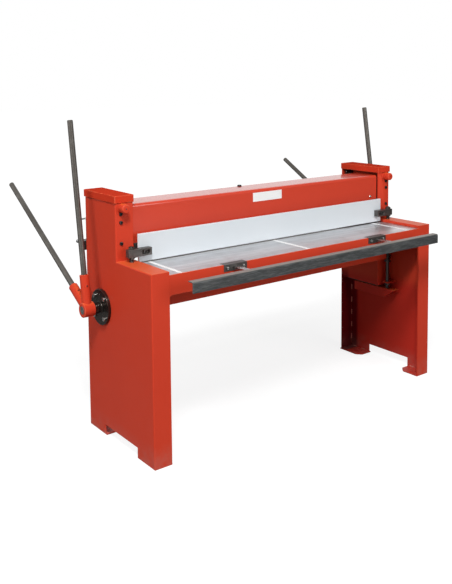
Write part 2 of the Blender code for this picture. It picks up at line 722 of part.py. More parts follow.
def column_inside(side, word):
    """Builds the plate that closes a column under the bed, and the gib and guide of its slide."""
    behind = LEG_STEP + FRAME_PLATE + SEAT
    ahead = FRAME_DEPTH - FRAME_PLATE - SEAT
    inner = INNER_X + INNER_PLATE_INSET
    outline = rectangle((behind, ahead), (COLUMN_FLOOR, SHOULDER_HEIGHT - INNER_PLATE_DROP))
    relief = circle((SHAFT_Y, SHAFT_Z), SHAFT_RADIUS + INNER_PLATE_RELIEF)
    piece(f"inner_plate_{word}", Drawing().plate([outline, relief], "YZ", *span(side, inner, inner + FRAME_PLATE)),
          PAINT)
    wide = span(side, INNER_X + GIB_INSET, INNER_X + GIB_INSET + GIB_WIDTH)
    low = SHOULDER_HEIGHT + GIB_RISE
    piece(f"gib_{word}", Drawing().box(wide, (behind, behind + GIB_THICKNESS), (low, COLUMN_TOP - GIB_TOP_DROP)),
          DARK_STEEL)
    piece(f"rear_guide_{word}", Drawing().box(wide, (ahead - GIB_THICKNESS, ahead),
                                              (low, COLUMN_TOP - REAR_GUIDE_TOP_DROP)), DARK_STEEL)


def front_rail():
    """Builds the rail between the legs, with round lower corners, a ledge, ribs and block notches."""
    end = INNER_X - SEAT
    low = TABLE_Z - RAIL_HEIGHT
    half = math.pi / 2
    outline = ([(-end, TABLE_Z), (-end, low - RAIL_CORNER)]
               + arc((-end + RAIL_CORNER, low - RAIL_CORNER), RAIL_CORNER, 2 * half, half)[1:]
               + arc((end - RAIL_CORNER, low - RAIL_CORNER), RAIL_CORNER, half, 0)
               + [(end, TABLE_Z)])
    rail = piece("front_rail", Drawing().plate([outline], "XZ", 0, FRAME_PLATE), PAINT)
    top = TABLE_UNDER - SEAT
    weld(rail, Drawing().box((-end, end), (FRAME_PLATE / 2, FRAME_PLATE + RAIL_LEDGE), (top - FRAME_PLATE, top)))
    rib = [(FRAME_PLATE / 2, top), (FRAME_PLATE / 2, top - RIB_FRONT_HEIGHT),
           (SUPPORT_FRONT - SEAT, top - RIB_REAR_HEIGHT), (SUPPORT_FRONT - SEAT, top)]
    for side, word in SIDES:
        for middle in (INNER_X - RIB_END_INSET, RIB_MIDDLE_OFFSET):
            weld(rail, Drawing().plate([rib], "YZ", side * middle - RIB_THICKNESS / 2,
                                       side * middle + RIB_THICKNESS / 2))
    for place in ARM_PLACES:
        x, y, z = block_ranges(place, SEAT)
        cut(rail, Drawing().box(x, (y[0] - PAST, FRAME_PLATE + RAIL_LEDGE + PAST), (z[0], TABLE_Z + PAST)))
    settle(rail)


def bed():
    """Builds the table plates, the blade support plate and the lower blade."""
    end = INNER_X - SEAT
    levels = (TABLE_UNDER, TABLE_Z)
    front = piece("table_front_plate", Drawing().box((-end, end), (FRAME_PLATE + SEAT, TABLE_SEAM - SEAT / 2),
                                                     levels), TABLE_STEEL)
    for place in ARM_PLACES:
        x, y, z = block_ranges(place, SEAT)
        cut(front, Drawing().box(x, y, (z[0] - PAST, z[1] + PAST)))
    piece("table_rear_plate", Drawing().box((-end, end), (TABLE_SEAM + SEAT / 2, SUPPORT_REAR), levels),
          TABLE_STEEL)
    half = INNER_X + SUPPORT_TONGUE
    plate = Drawing().box((-half, half), (SUPPORT_FRONT, SUPPORT_REAR),
                          (TABLE_UNDER - SEAT - SUPPORT_HEIGHT, TABLE_UNDER - SEAT))
    support = piece("blade_support_plate", plate, PAINT)
    blade_low = TABLE_Z - LOWER_BLADE_HEIGHT
    pad_top = blade_low - SUPPORT_PAD_DROP
    for side, word in SIDES:
        weld(support, Drawing().box(span(side, INNER_X - SUPPORT_PAD_INSET, half),
                                    (SUPPORT_FRONT + PAST, LEG_STEP - SEAT),
                                    (pad_top - SUPPORT_PAD_HEIGHT, pad_top)))
    piece("lower_blade", Drawing().box((-end, end), (LOWER_BLADE_FRONT, LOWER_BLADE_REAR), (blade_low, TABLE_Z)),
          BRIGHT_STEEL)


def bearing(side, word):
    """Builds a flanged bearing outside the wall, with its four screws, and its bush."""
    start = OUTER_X + SEAT
    face = BEARING_FLANGE_THICKNESS
    reach = BEARING_END_X - start
    bore = BUSH_RADIUS + SEAT
    profile = [(bore, 0), (BEARING_FLANGE_RADIUS, 0), (BEARING_FLANGE_RADIUS, face - BEARING_FLANGE_EDGE),
               (BEARING_FLANGE_RADIUS - BEARING_FLANGE_EDGE, face), (BEARING_BOSS_RADIUS, face),
               (BEARING_BOSS_RADIUS, reach), (bore, reach)]
    place = Matrix.Translation((side * start, SHAFT_Y, SHAFT_Z)) @ turn_axis(side)
    flange = piece(f"bearing_flange_{word}", Drawing().turned(profile, place), DARK_STEEL, smooth=True)
    for i in range(BEARING_SCREW_COUNT):
        angle = BEARING_SCREW_ANGLE + 2 * math.pi * i / BEARING_SCREW_COUNT
        seat = (side * (start + face), SHAFT_Y + BEARING_SCREW_CIRCLE * math.cos(angle),
                SHAFT_Z + BEARING_SCREW_CIRCLE * math.sin(angle))
        weld(flange, screw(Drawing(), seat, (-side, 0, 0), SCREW, face / 2))
    length = BEARING_END_X - WALL_X
    piece(f"bearing_bush_{word}", ring((side * WALL_X, SHAFT_Y, SHAFT_Z), (side, 0, 0), BUSH_BORE, BUSH_RADIUS,
                                       length, ROUND_SIDES), BRONZE, smooth=True)


def shaft_group():
    """Builds the cross shaft with its cranks, lever hubs and levers."""
    axis = empty("shaft_axis", (0, SHAFT_Y, SHAFT_Z), MACHINE)
    shaft = Drawing().rod((-HUB_END_X, SHAFT_Y, SHAFT_Z), (HUB_END_X, SHAFT_Y, SHAFT_Z), SHAFT_RADIUS,
                          ROUND_SIDES)
    piece("cross_shaft", shaft, BRIGHT_STEEL, axis, smooth=True)
    eye = crank_pin_place()
    for side, word in SIDES:
        outlines = [link((SHAFT_Y, SHAFT_Z), CRANK_HUB_RADIUS, eye, CRANK_EYE_RADIUS),
                    circle((SHAFT_Y, SHAFT_Z), SHAFT_RADIUS + SEAT, ROUND_SIDES),
                    circle(eye, CRANK_PIN_RADIUS + SEAT, ROUND_SIDES)]
        arm = Drawing().plate(outlines, "YZ", *span(side, SLIDE_OUTER_X + PLAY, WALL_X - PLAY))
        piece(f"crank_arm_{word}", arm, DARK_STEEL, axis)
        pin = Drawing().rod((side * (SLIDE_INNER_X - PLAY), *eye), (side * (WALL_X - PLAY), *eye),
                            CRANK_PIN_RADIUS, ROUND_SIDES)
        piece(f"crank_pin_{word}", pin, BRIGHT_STEEL, axis, smooth=True)
        lever_hub(side, word, axis)


def lever_hub(side, word, axis):
    """Builds a lever hub with its two sockets, and the levers in them."""
    profile = [(0, 0), (HUB_RADIUS, 0), (HUB_RADIUS, HUB_LENGTH - HUB_EDGE), (HUB_RADIUS - HUB_EDGE, HUB_LENGTH),
               (0, HUB_LENGTH)]
    place = Matrix.Translation((side * HUB_START_X, SHAFT_Y, SHAFT_Z)) @ turn_axis(side)
    hub = piece(f"lever_hub_{word}", Drawing().turned(profile, place), PAINT, axis, smooth=True)
    centre = Vector((side * LEVER_X, SHAFT_Y, SHAFT_Z))
    levers = (("upright", UPRIGHT_LEVER_ANGLE, UPRIGHT_LEVER_REACH), ("rear", REAR_LEVER_ANGLE, REAR_LEVER_REACH))
    ways = [Vector((0, math.cos(angle), math.sin(angle))) for kind, angle, reach in levers]
    for way in ways:
        weld(hub, Drawing().rod(centre + way * SHAFT_RADIUS / 2, centre + way * SOCKET_REACH, SOCKET_RADIUS,
                                ROUND_SIDES))
    cut(hub, Drawing().rod((side * (HUB_START_X - PAST), SHAFT_Y, SHAFT_Z),
                           (side * (HUB_END_X + PAST), SHAFT_Y, SHAFT_Z), SHAFT_RADIUS + SEAT, ROUND_SIDES))
    for way, (kind, angle, reach) in zip(ways, levers):
        cut(hub, Drawing().rod(centre + way * SOCKET_FLOOR, centre + way * (SOCKET_REACH + PAST),
                               LEVER_RADIUS + SEAT, ROUND_SIDES))
        inner = SOCKET_FLOOR + SEAT
        profile = [(0, inner), (LEVER_RADIUS, inner), (LEVER_RADIUS, reach - LEVER_EDGE),
                   (LEVER_RADIUS - LEVER_EDGE, reach), (0, reach)]
        turn = Vector((0, 0, 1)).rotation_difference(way).to_matrix().to_4x4()
        lever = Drawing().turned(profile, Matrix.Translation(centre) @ turn, ROUND_SIDES)
        piece(f"{kind}_lever_{word}", lever, LEVER_STEEL, axis, smooth=True)
    settle(hub)


def beam_group():
    """Builds the blade beam and the upper blade, and the slide plates and lifter feet at its ends."""
    carrier = empty("beam_slide", (0, BEAM_FRONT, BEAM_TOP), MACHINE)
    low = TABLE_Z
    hinge_front = (BEAM_FRONT + BEAM_BEND, BEAM_TOP - BEAM_BEND)
    hinge_rear = (BEAM_REAR - BEAM_BEND, BEAM_TOP - BEAM_BEND)
    half = math.pi / 2
    inner_bend = BEAM_BEND - BEAM_PLATE
    section = ([(BEAM_FRONT, low)] + arc(hinge_front, BEAM_BEND, 2 * half, half)
               + arc(hinge_rear, BEAM_BEND, half, 0)
               + [(BEAM_REAR, BEAM_TOP - BEAM_LIP), (BEAM_REAR - BEAM_PLATE, BEAM_TOP - BEAM_LIP)]
               + arc(hinge_rear, inner_bend, 0, half) + arc(hinge_front, inner_bend, half, 2 * half)
               + [(BEAM_BACK, low)])
    beam = piece("blade_beam", Drawing().plate([section], "YZ", -BEAM_X, BEAM_X), PAINT, carrier)
    inside_rear = BEAM_REAR - BEAM_PLATE / 2
    inside_top = BEAM_TOP - BEAM_PLATE / 2
    for side, word in SIDES:
        weld(beam, Drawing().box(span(side, BEAM_X - BEAM_END_PLATE, BEAM_X), (BEAM_BACK - PAST, inside_rear),
                                 (SHOULDER_HEIGHT + BEAM_END_RISE, inside_top)))
    rib = [(BEAM_BACK - PAST, inside_top), (BEAM_BACK - PAST, inside_top - BEAM_RIB_DROP),
           (BEAM_BACK, inside_top - BEAM_RIB_DROP), (inside_rear, BEAM_TOP - BEAM_LIP + PAST),
           (inside_rear, inside_top)]
    for share in BEAM_RIB_SHARES:
        weld(beam, Drawing().plate([rib], "YZ", BEAM_X * share - BEAM_RIB / 2, BEAM_X * share + BEAM_RIB / 2))
    below = [(-BEAM_X - PAST, low - PAST), (BEAM_X + PAST, low - PAST),
             (BEAM_X + PAST, cutting_edge(BEAM_X + PAST) + BEAM_ABOVE_EDGE),
             (-BEAM_X - PAST, cutting_edge(-BEAM_X - PAST) + BEAM_ABOVE_EDGE)]
    cut(beam, Drawing().plate([below], "XZ", BEAM_FRONT - PAST, BEAM_BACK + PAST))
    settle(beam)

    outline = [(-BEAM_X, cutting_edge(-BEAM_X)), (BEAM_X, cutting_edge(BEAM_X)),
               (BEAM_X, cutting_edge(BEAM_X) + UPPER_BLADE_HEIGHT),
               (-BEAM_X, cutting_edge(-BEAM_X) + UPPER_BLADE_HEIGHT)]
    piece("upper_blade", Drawing().plate([outline], "XZ", SHEAR_Y, SHEAR_Y + UPPER_BLADE_THICKNESS),
          BRIGHT_STEEL, carrier)

    for side, word in SIDES:
        slide_plate(side, word, carrier)
        nose = ROD_Y - LIFTER_NOSE
        foot = [(nose, LIFTER_TOP), (nose + LIFTER_SLANT, LIFTER_TOP - LIFTER_HEIGHT),
                (SHAFT_Y + LIFTER_TAIL, LIFTER_TOP - LIFTER_HEIGHT), (SHAFT_Y + LIFTER_TAIL, LIFTER_TOP)]
        piece(f"lifter_foot_{word}",
              Drawing().plate([foot], "YZ", side * LIFTER_X - LIFTER_WIDTH / 2, side * LIFTER_X + LIFTER_WIDTH / 2),
              PAINT, carrier)


def slide_plate(side, word, carrier):
    """Builds a slide plate: a slot lets it pass the shaft, a level yoke slot takes the crank pin."""
    pin_y, pin_z = crank_pin_place()
    shaft_play = SHAFT_RADIUS + SHAFT_SLOT_PLAY
    pin_play = CRANK_PIN_RADIUS + YOKE_PLAY
    end_play = CRANK_PIN_RADIUS + YOKE_END_PLAY
    outline = rectangle((SLIDE_FRONT_Y, SLIDE_REAR_Y), (LIFTER_TOP + SEAT, COLUMN_TOP - SLIDE_TOP_DROP))
    shaft_slot = slot((SHAFT_Y - shaft_play, SHAFT_Y + shaft_play),
                      (SHAFT_Z - shaft_play, SHAFT_Z + STROKE + shaft_play))
    yoke = rectangle((SHAFT_Y - CRANK_RADIUS - end_play, pin_y + end_play), (pin_z - pin_play, pin_z + pin_play))
    plate = Drawing().plate([outline, shaft_slot, yoke], "YZ", *span(side, SLIDE_INNER_X, SLIDE_OUTER_X))
    slide = piece(f"slide_plate_{word}", plate, DARK_STEEL, carrier)
    top = COLUMN_TOP - LINK_TOP_DROP
    start = BEAM_BACK + LINK_SETBACK
    weld(slide, Drawing().box(span(side, BEAM_X + SEAT, SLIDE_INNER_X + SLIDE_THICKNESS / 2),
                              (start, start + LINK_LENGTH), (top - LINK_HEIGHT, top)))
    settle(slide)


def hold_down_group():
    """Builds the hold-down plate and, at its ends, the brackets, rods, nuts and springs."""
    carrier = empty("hold_down_slide", (0, HOLD_FRONT, HOLD_LOW), MACHINE)
    end = INNER_X - HOLD_END_GAP
    plate = piece("hold_down_plate", Drawing().box((-end, end), (HOLD_FRONT, HOLD_FRONT + HOLD_THICKNESS),
                                                   (HOLD_LOW, HOLD_LOW + HOLD_HEIGHT)), PALE_PAINT, carrier)
    ease(plate, CAP_EDGE)
    bore = ROD_RADIUS + SEAT
    step = BRACKET_FRONT + BRACKET_STEP_DEPTH
    for side, word in SIDES:
        x = span(side, INNER_X - BRACKET_INSET, INNER_X + BRACKET_REACH)
        bracket = piece(f"bracket_{word}", Drawing().box(x, (BRACKET_FRONT, BRACKET_BACK),
                                                         (BRACKET_LOW, BRACKET_TOP)), DARK_STEEL, carrier)
        slot_x = span(side, INNER_X - BRACKET_SLOT_INSET, INNER_X - BRACKET_SLOT_INSET + BRACKET_SLOT_LENGTH)
        shrink = BRACKET_STEP_RADIUS - BRACKET_SLOT_RADIUS
        wide = slot(slot_x, (BRACKET_MIDDLE - BRACKET_STEP_RADIUS, BRACKET_MIDDLE + BRACKET_STEP_RADIUS))
        thin = slot((slot_x[0] + shrink, slot_x[1] - shrink),
                    (BRACKET_MIDDLE - BRACKET_SLOT_RADIUS, BRACKET_MIDDLE + BRACKET_SLOT_RADIUS))
        cut(bracket, Drawing().plate([wide], "XZ", BRACKET_FRONT - PAST, step))
        cut(bracket, Drawing().plate([thin], "XZ", step - PAST, BRACKET_BACK + PAST))
        cut(bracket, Drawing().rod((side * ROD_X, ROD_Y, BRACKET_LOW - PAST),
                                   (side * ROD_X, ROD_Y, BRACKET_TOP + PAST), bore))
        seat = (side * BRACKET_SLOT_X, step - SEAT, BRACKET_MIDDLE)
        inside = BRACKET_BACK - step + SEAT + SEAT + HOLD_THICKNESS / 2
        piece(f"bracket_screw_{word}", screw(Drawing(), seat, (0, 1, 0), SMALL_SCREW, inside), BLACK_STEEL,
              carrier, smooth=True)
        cut(plate, Drawing().rod((seat[0], HOLD_FRONT - PAST, seat[2]),
                                 (seat[0], HOLD_FRONT + HOLD_THICKNESS + PAST, seat[2]),
                                 SMALL_SCREW[2] + SEAT, SCREW_SIDES))

        rod = Drawing().rod((side * ROD_X, ROD_Y, ROD_LOW), (side * ROD_X, ROD_Y, ROD_TOP), ROD_RADIUS)
        rod = piece(f"hold_down_rod_{word}", rod, DARK_STEEL, carrier, smooth=True)
        core = ROD_RADIUS / 2
        for level, radius, height, sides in (
                (BRACKET_LOW - SEAT - JAM_NUT_HEIGHT, NUT_RADIUS, JAM_NUT_HEIGHT, HEX_SIDES),
                (COLLAR_TOP - COLLAR_HEIGHT, SPRING_RADIUS, COLLAR_HEIGHT, SMALL_SIDES),
                (ROD_GUIDE_LOW - GUIDE_NUT_GAP - NUT_HEIGHT, NUT_RADIUS, NUT_HEIGHT, HEX_SIDES)):
            weld(rod, ring((side * ROD_X, ROD_Y, level), (0, 0, 1), core, radius, height, sides))
        settle(rod)
        hexagon = circle((side * ROD_X, ROD_Y), NUT_RADIUS, HEX_SIDES)
        nut = Drawing().plate([hexagon, circle((side * ROD_X, ROD_Y), bore)], "XY", BRACKET_TOP + SEAT,
                              BRACKET_TOP + SEAT + NUT_HEIGHT)
        piece(f"rod_nut_{word}", nut, BLACK_STEEL, carrier)
        spring(side, word, carrier)


def spring_points(side):
    """Lists the points of a spring's wire between its collar and the shoulder plate."""
    low = COLLAR_TOP + SEAT + SPRING_WIRE_RADIUS
    high = SHOULDER_UNDER - SEAT - SPRING_WIRE_RADIUS
    radius = SPRING_RADIUS - SPRING_WIRE_RADIUS
    count = SPRING_CURLS * SPRING_CURL_POINTS
    points = []
    for i in range(count + 1):
        angle = 2 * math.pi * i / SPRING_CURL_POINTS
        points.append(Vector((side * ROD_X + radius * math.cos(angle), ROD_Y + radius * math.sin(angle),
                              low + (high - low) * i / count)))
    return points


def least_gap(points):
    """Measures the least gap of a wire to itself, between points at least half a curl apart."""
    apart = SPRING_CURL_POINTS // 2
    nearest = min((points[i] - points[j]).length
                  for i in range(len(points)) for j in range(i + apart, len(points)))
    return nearest - 2 * SPRING_WIRE_RADIUS


def wire(name, points, radius, detail, material, place, carrier):
    """Makes a round wire along points, as a curve object with closed ends."""
    curve = bpy.data.curves.new(name, "CURVE")
    curve.dimensions = "3D"
    curve.bevel_depth = radius
    curve.bevel_resolution = detail
    curve.use_fill_caps = True
    spline = curve.splines.new("POLY")
    spline.points.add(len(points) - 1)
    for target, point in zip(spline.points, points):
        target.co = (*(Vector(point) - place), 1)
    curve.materials.append(material)
    obj = bpy.data.objects.new(name, curve)
    PARTS.objects.link(obj)
    obj.parent = carrier
    return obj


def spring(side, word, carrier):
    """Builds a spring as one unbroken wire and prints its least gap to itself."""
    points = spring_points(side)
    print(f"spring {word}: least gap to itself {least_gap(points) * 1000:.2f} mm")
    place = Vector((side * ROD_X, ROD_Y, (COLLAR_TOP + SHOULDER_UNDER) / 2))
    obj = wire(f"hold_down_spring_{word}", points, SPRING_WIRE_RADIUS, 1, BLACK_STEEL, place, carrier)
    obj.location = place - carrier.location


def front_bar_group():
    """Builds the front bar and its arms, and the blocks in the rail that guide the arms."""
    carrier = empty("front_bar_slide", (0, BAR_FRONT, BAR_TOP), MACHINE)
    end = INNER_X - BAR_END_GAP
    section = angle_section(BAR_FRONT, BAR_TOP, BAR_HEIGHT, BAR_DEPTH, BAR_WALL, BAR_BEND)
    piece("front_bar", Drawing().plate([section], "YZ", -end, end), BAR_STEEL, carrier)
    for place, (side, word) in zip(ARM_PLACES, SIDES):
        x = (place - ARM_WIDTH / 2, place + ARM_WIDTH / 2)
        z = (ARM_TOP - ARM_HEIGHT, ARM_TOP)
        piece(f"front_bar_arm_{word}", Drawing().box(x, (BAR_FRONT + BAR_WALL + SEAT, ARM_TAIL), z),
              TABLE_STEEL, carrier)
        block = piece(f"bar_block_{word}", Drawing().box(*block_ranges(place, 0)), DARK_STEEL)
        cut(block, Drawing().box((x[0] - SEAT, x[1] + SEAT), (-BLOCK_STAND - PAST, BLOCK_DEPTH + PAST),
                                 (z[0] - SEAT, z[1] + SEAT)))
        for offset in (-BLOCK_SCREW_OFFSET, BLOCK_SCREW_OFFSET):
            seat = (place + offset, -BLOCK_STAND, BLOCK_LOW + BLOCK_HEIGHT / 2)
            weld(block, screw(Drawing(), seat, (0, 1, 0), SMALL_SCREW, BLOCK_DEPTH / 2))


def back_gauge_group():
    """Builds the back gauge: rods with nuts on the frame, and the blocks, bar and clamp screws on them."""
    carrier = empty("back_gauge_slide", (0, GAUGE_FRONT, GAUGE_Z), MACHINE)
    inside = FRAME_DEPTH - FRAME_PLATE - SEAT
    bore = GAUGE_ROD_RADIUS + SEAT
    core = GAUGE_ROD_RADIUS / 2
    for side, word in SIDES:
        x = side * GAUGE_X
        rod = Drawing().rod((x, inside - GAUGE_ROD_TAIL, GAUGE_Z), (x, FRAME_DEPTH + GAUGE_ROD_LENGTH, GAUGE_Z),
                            GAUGE_ROD_RADIUS, ROUND_SIDES)
        rod = piece(f"gauge_rod_{word}", rod, BRIGHT_STEEL, smooth=True)
        for start in (inside - GAUGE_NUT_HEIGHT, FRAME_DEPTH + SEAT):
            weld(rod, ring((x, start, GAUGE_Z), (0, 1, 0), core, NUT_RADIUS, GAUGE_NUT_HEIGHT, HEX_SIDES))
        settle(rod)
        near_x = GAUGE_X - GAUGE_BLOCK_WIDTH / 2
        block = Drawing().box(span(side, near_x, near_x + GAUGE_BLOCK_WIDTH), (GAUGE_FRONT, GAUGE_REAR),
                              (GAUGE_Z - GAUGE_BLOCK_BELOW, GAUGE_TOP))
        block = piece(f"gauge_block_{word}", block, DARK_STEEL, carrier)
        cut(block, Drawing().rod((x, GAUGE_FRONT - PAST, GAUGE_Z), (x, GAUGE_REAR + PAST, GAUGE_Z), bore,
                                 ROUND_SIDES))
        cut(block, Drawing().rod((x, CLAMP_Y, GAUGE_Z), (x, CLAMP_Y, GAUGE_TOP + PAST), CLAMP_RADIUS + SEAT,
                                 SCREW_SIDES))
        clamp_screw(side, word, carrier)
    end = GAUGE_X - GAUGE_BLOCK_WIDTH / 2 - SEAT
    section = angle_section(GAUGE_FRONT, GAUGE_TOP, GAUGE_BAR_HEIGHT, GAUGE_BLOCK_DEPTH, GAUGE_BAR_WALL,
                            GAUGE_BAR_BEND)
    piece("gauge_bar", Drawing().plate([section], "YZ", -end, end), BAR_STEEL, carrier)


def clamp_screw(side, word, carrier):
    """Builds a clamp screw: a rod that stands in its block and bends back to a handle."""
    place = Vector((side * GAUGE_X, CLAMP_Y, GAUGE_TOP))
    axis = empty(f"clamp_axis_{word}", place - carrier.location, carrier)
    top = GAUGE_TOP + CLAMP_HEIGHT
    bend = arc((CLAMP_Y + CLAMP_BEND, top - CLAMP_BEND), CLAMP_BEND, math.pi, math.pi / 2)
    route = [(CLAMP_Y, GAUGE_Z + GAUGE_ROD_RADIUS + SEAT), *bend, (CLAMP_Y + CLAMP_REACH, top - CLAMP_FALL)]
    wire(f"clamp_screw_{word}", [(side * GAUGE_X, y, z) for y, z in route], CLAMP_RADIUS, 2, BRIGHT_STEEL,
         place, axis)


clear_scene()
PARTS = bpy.data.collections.new("sheet_metal_shear")
CUTTERS = bpy.data.collections.new("cutters")
bpy.context.scene.collection.children.link(PARTS)
bpy.context.scene.collection.children.link(CUTTERS)

PAINT = finish("orange_red_paint", (0.56, 0.055, 0.028), 0.38, 0.0)
PALE_PAINT = finish("pale_paint", (0.69, 0.74, 0.79), 0.45, 0.0)
TABLE_STEEL = finish("table_steel", (0.53, 0.53, 0.55), 0.35, 0.8)
BRIGHT_STEEL = finish("bright_steel", (0.55, 0.55, 0.56), 0.25, 1.0)
BAR_STEEL = finish("bar_steel", (0.08, 0.09, 0.095), 0.45, 0.7)
DARK_STEEL = finish("dark_steel", (0.07, 0.065, 0.06), 0.4, 0.8)
BLACK_STEEL = finish("black_steel", (0.03, 0.03, 0.032), 0.35, 0.8)
LEVER_STEEL = finish("lever_steel", (0.17, 0.15, 0.13), 0.45, 0.8)
BRONZE = finish("bronze", (0.45, 0.28, 0.12), 0.35, 1.0)

MACHINE = empty("machine", (0, MACHINE_SHIFT, 0))
for frame_side, frame_word in SIDES:
    side_frame(frame_side, frame_word)
    column_cap(frame_side, frame_word)
    column_inside(frame_side, frame_word)
    bearing(frame_side, frame_word)
front_rail()
bed()
shaft_group()
beam_group()
hold_down_group()
front_bar_group()
back_gauge_group()
bpy.context.view_layer.update()
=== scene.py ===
"""Looks of a hand lever shear for sheet metal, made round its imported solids.

Each sub-assembly is a class. It refines the solids that show, adds the screws, scales, threads and
other small pieces that the solids leave out, and dresses them all in procedural finishes.
Metres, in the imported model's frame: X along the blades, Y towards the back gauge, Z up.
"""
import functools
import json
import logging
import math
from collections.abc import Callable, Iterable, Sequence
from dataclasses import dataclass
from enum import Enum

import bmesh
import bpy
from mathutils import Matrix, Vector

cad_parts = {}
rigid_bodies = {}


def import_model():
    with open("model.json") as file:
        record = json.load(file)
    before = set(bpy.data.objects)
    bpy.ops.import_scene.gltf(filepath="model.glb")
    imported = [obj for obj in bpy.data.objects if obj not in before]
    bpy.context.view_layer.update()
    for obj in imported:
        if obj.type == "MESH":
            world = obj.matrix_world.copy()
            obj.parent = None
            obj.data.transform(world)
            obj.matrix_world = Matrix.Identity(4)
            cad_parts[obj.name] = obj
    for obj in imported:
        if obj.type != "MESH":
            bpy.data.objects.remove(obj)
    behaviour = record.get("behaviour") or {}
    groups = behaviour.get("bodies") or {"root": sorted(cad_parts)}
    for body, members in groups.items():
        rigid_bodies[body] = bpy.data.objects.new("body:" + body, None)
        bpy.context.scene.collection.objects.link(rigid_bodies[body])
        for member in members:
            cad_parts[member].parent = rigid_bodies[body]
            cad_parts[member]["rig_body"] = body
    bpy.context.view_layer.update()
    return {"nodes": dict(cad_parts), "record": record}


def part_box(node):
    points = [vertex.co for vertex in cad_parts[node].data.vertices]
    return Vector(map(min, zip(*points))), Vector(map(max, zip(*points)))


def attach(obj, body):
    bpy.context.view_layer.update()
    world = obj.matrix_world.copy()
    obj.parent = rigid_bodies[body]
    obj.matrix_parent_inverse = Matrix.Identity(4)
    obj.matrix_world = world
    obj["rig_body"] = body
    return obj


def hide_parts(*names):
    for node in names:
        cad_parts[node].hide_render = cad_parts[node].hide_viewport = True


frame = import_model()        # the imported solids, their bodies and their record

LOG = logging.getLogger("shear")
SIDES = ((-1, "left"), (1, "right"))
SLOTS = {part["node"]: part["material_slot"] for part in frame["record"]["subparts"]}
AXLE = (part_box("cross_shaft")[0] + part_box("cross_shaft")[1]) / 2
LEG = tuple(Vector(corner_shade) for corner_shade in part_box("side_frame_right"))
UPRIGHT_ANGLE = math.radians(81.5)
REAR_ANGLE = math.radians(29.5)
PLATE = 0.006           # wall of the side frames
GAP = 0.0003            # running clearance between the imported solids
ROD_X = 0.705           # hold-down rods, to either side
STRIP_WIDTH = 0.015     # white scales in the table
STRIP_PLACES = (-0.62, 0.0, 0.61)
SHARP = math.radians(35)
CREASE = math.radians(50)

Colour = tuple[float, float, float]


def operator(operation: str, reflected: bool = False) -> Callable:
    """Gives the method of an operator, which adds its Math node.

    Args:
        operation: Operation of the node.
        reflected: Whether the other value comes first.

    Returns:
        The method.
    """
    def method(self: "Signal", *others: "Signal | float") -> "Signal":
        """Adds the node on the signal and the other value, if it takes one."""
        values = (*others, self) if reflected else (self, *others)
        return self.shader.maths(operation, *values)
    return method


class Signal:
    """A shader socket that takes part in Python expressions."""

    def __init__(self, shader: "Shader", socket: bpy.types.NodeSocket) -> None:
        """Wraps a socket of a shader."""
        self.shader = shader
        self.socket = socket

    __add__ = operator("ADD")
    __radd__ = operator("ADD", reflected=True)
    __sub__ = operator("SUBTRACT")
    __rsub__ = operator("SUBTRACT", reflected=True)
    __mul__ = operator("MULTIPLY")
    __rmul__ = operator("MULTIPLY", reflected=True)
    __truediv__ = operator("DIVIDE")
    __pow__ = operator("POWER")
    __abs__ = operator("ABSOLUTE")
    __lt__ = operator("LESS_THAN")
    __gt__ = operator("GREATER_THAN")
    fraction = operator("FRACT")
    sine = operator("SINE")

    def ramp(self, low: float, high: float, start: float = 0.0, end: float = 1.0) -> "Signal":
        """Maps a range to another one, held at its ends.

        Args:
            low: Value that gives start.
            high: Value that gives end.
            start: Result at low.
            end: Result at high.

        Returns:
            The mapped signal.
        """
        return self.shader.node("ShaderNodeMapRange", {"clamp": True}, {0: self, 1: low, 2: high, 3: start, 4: end})


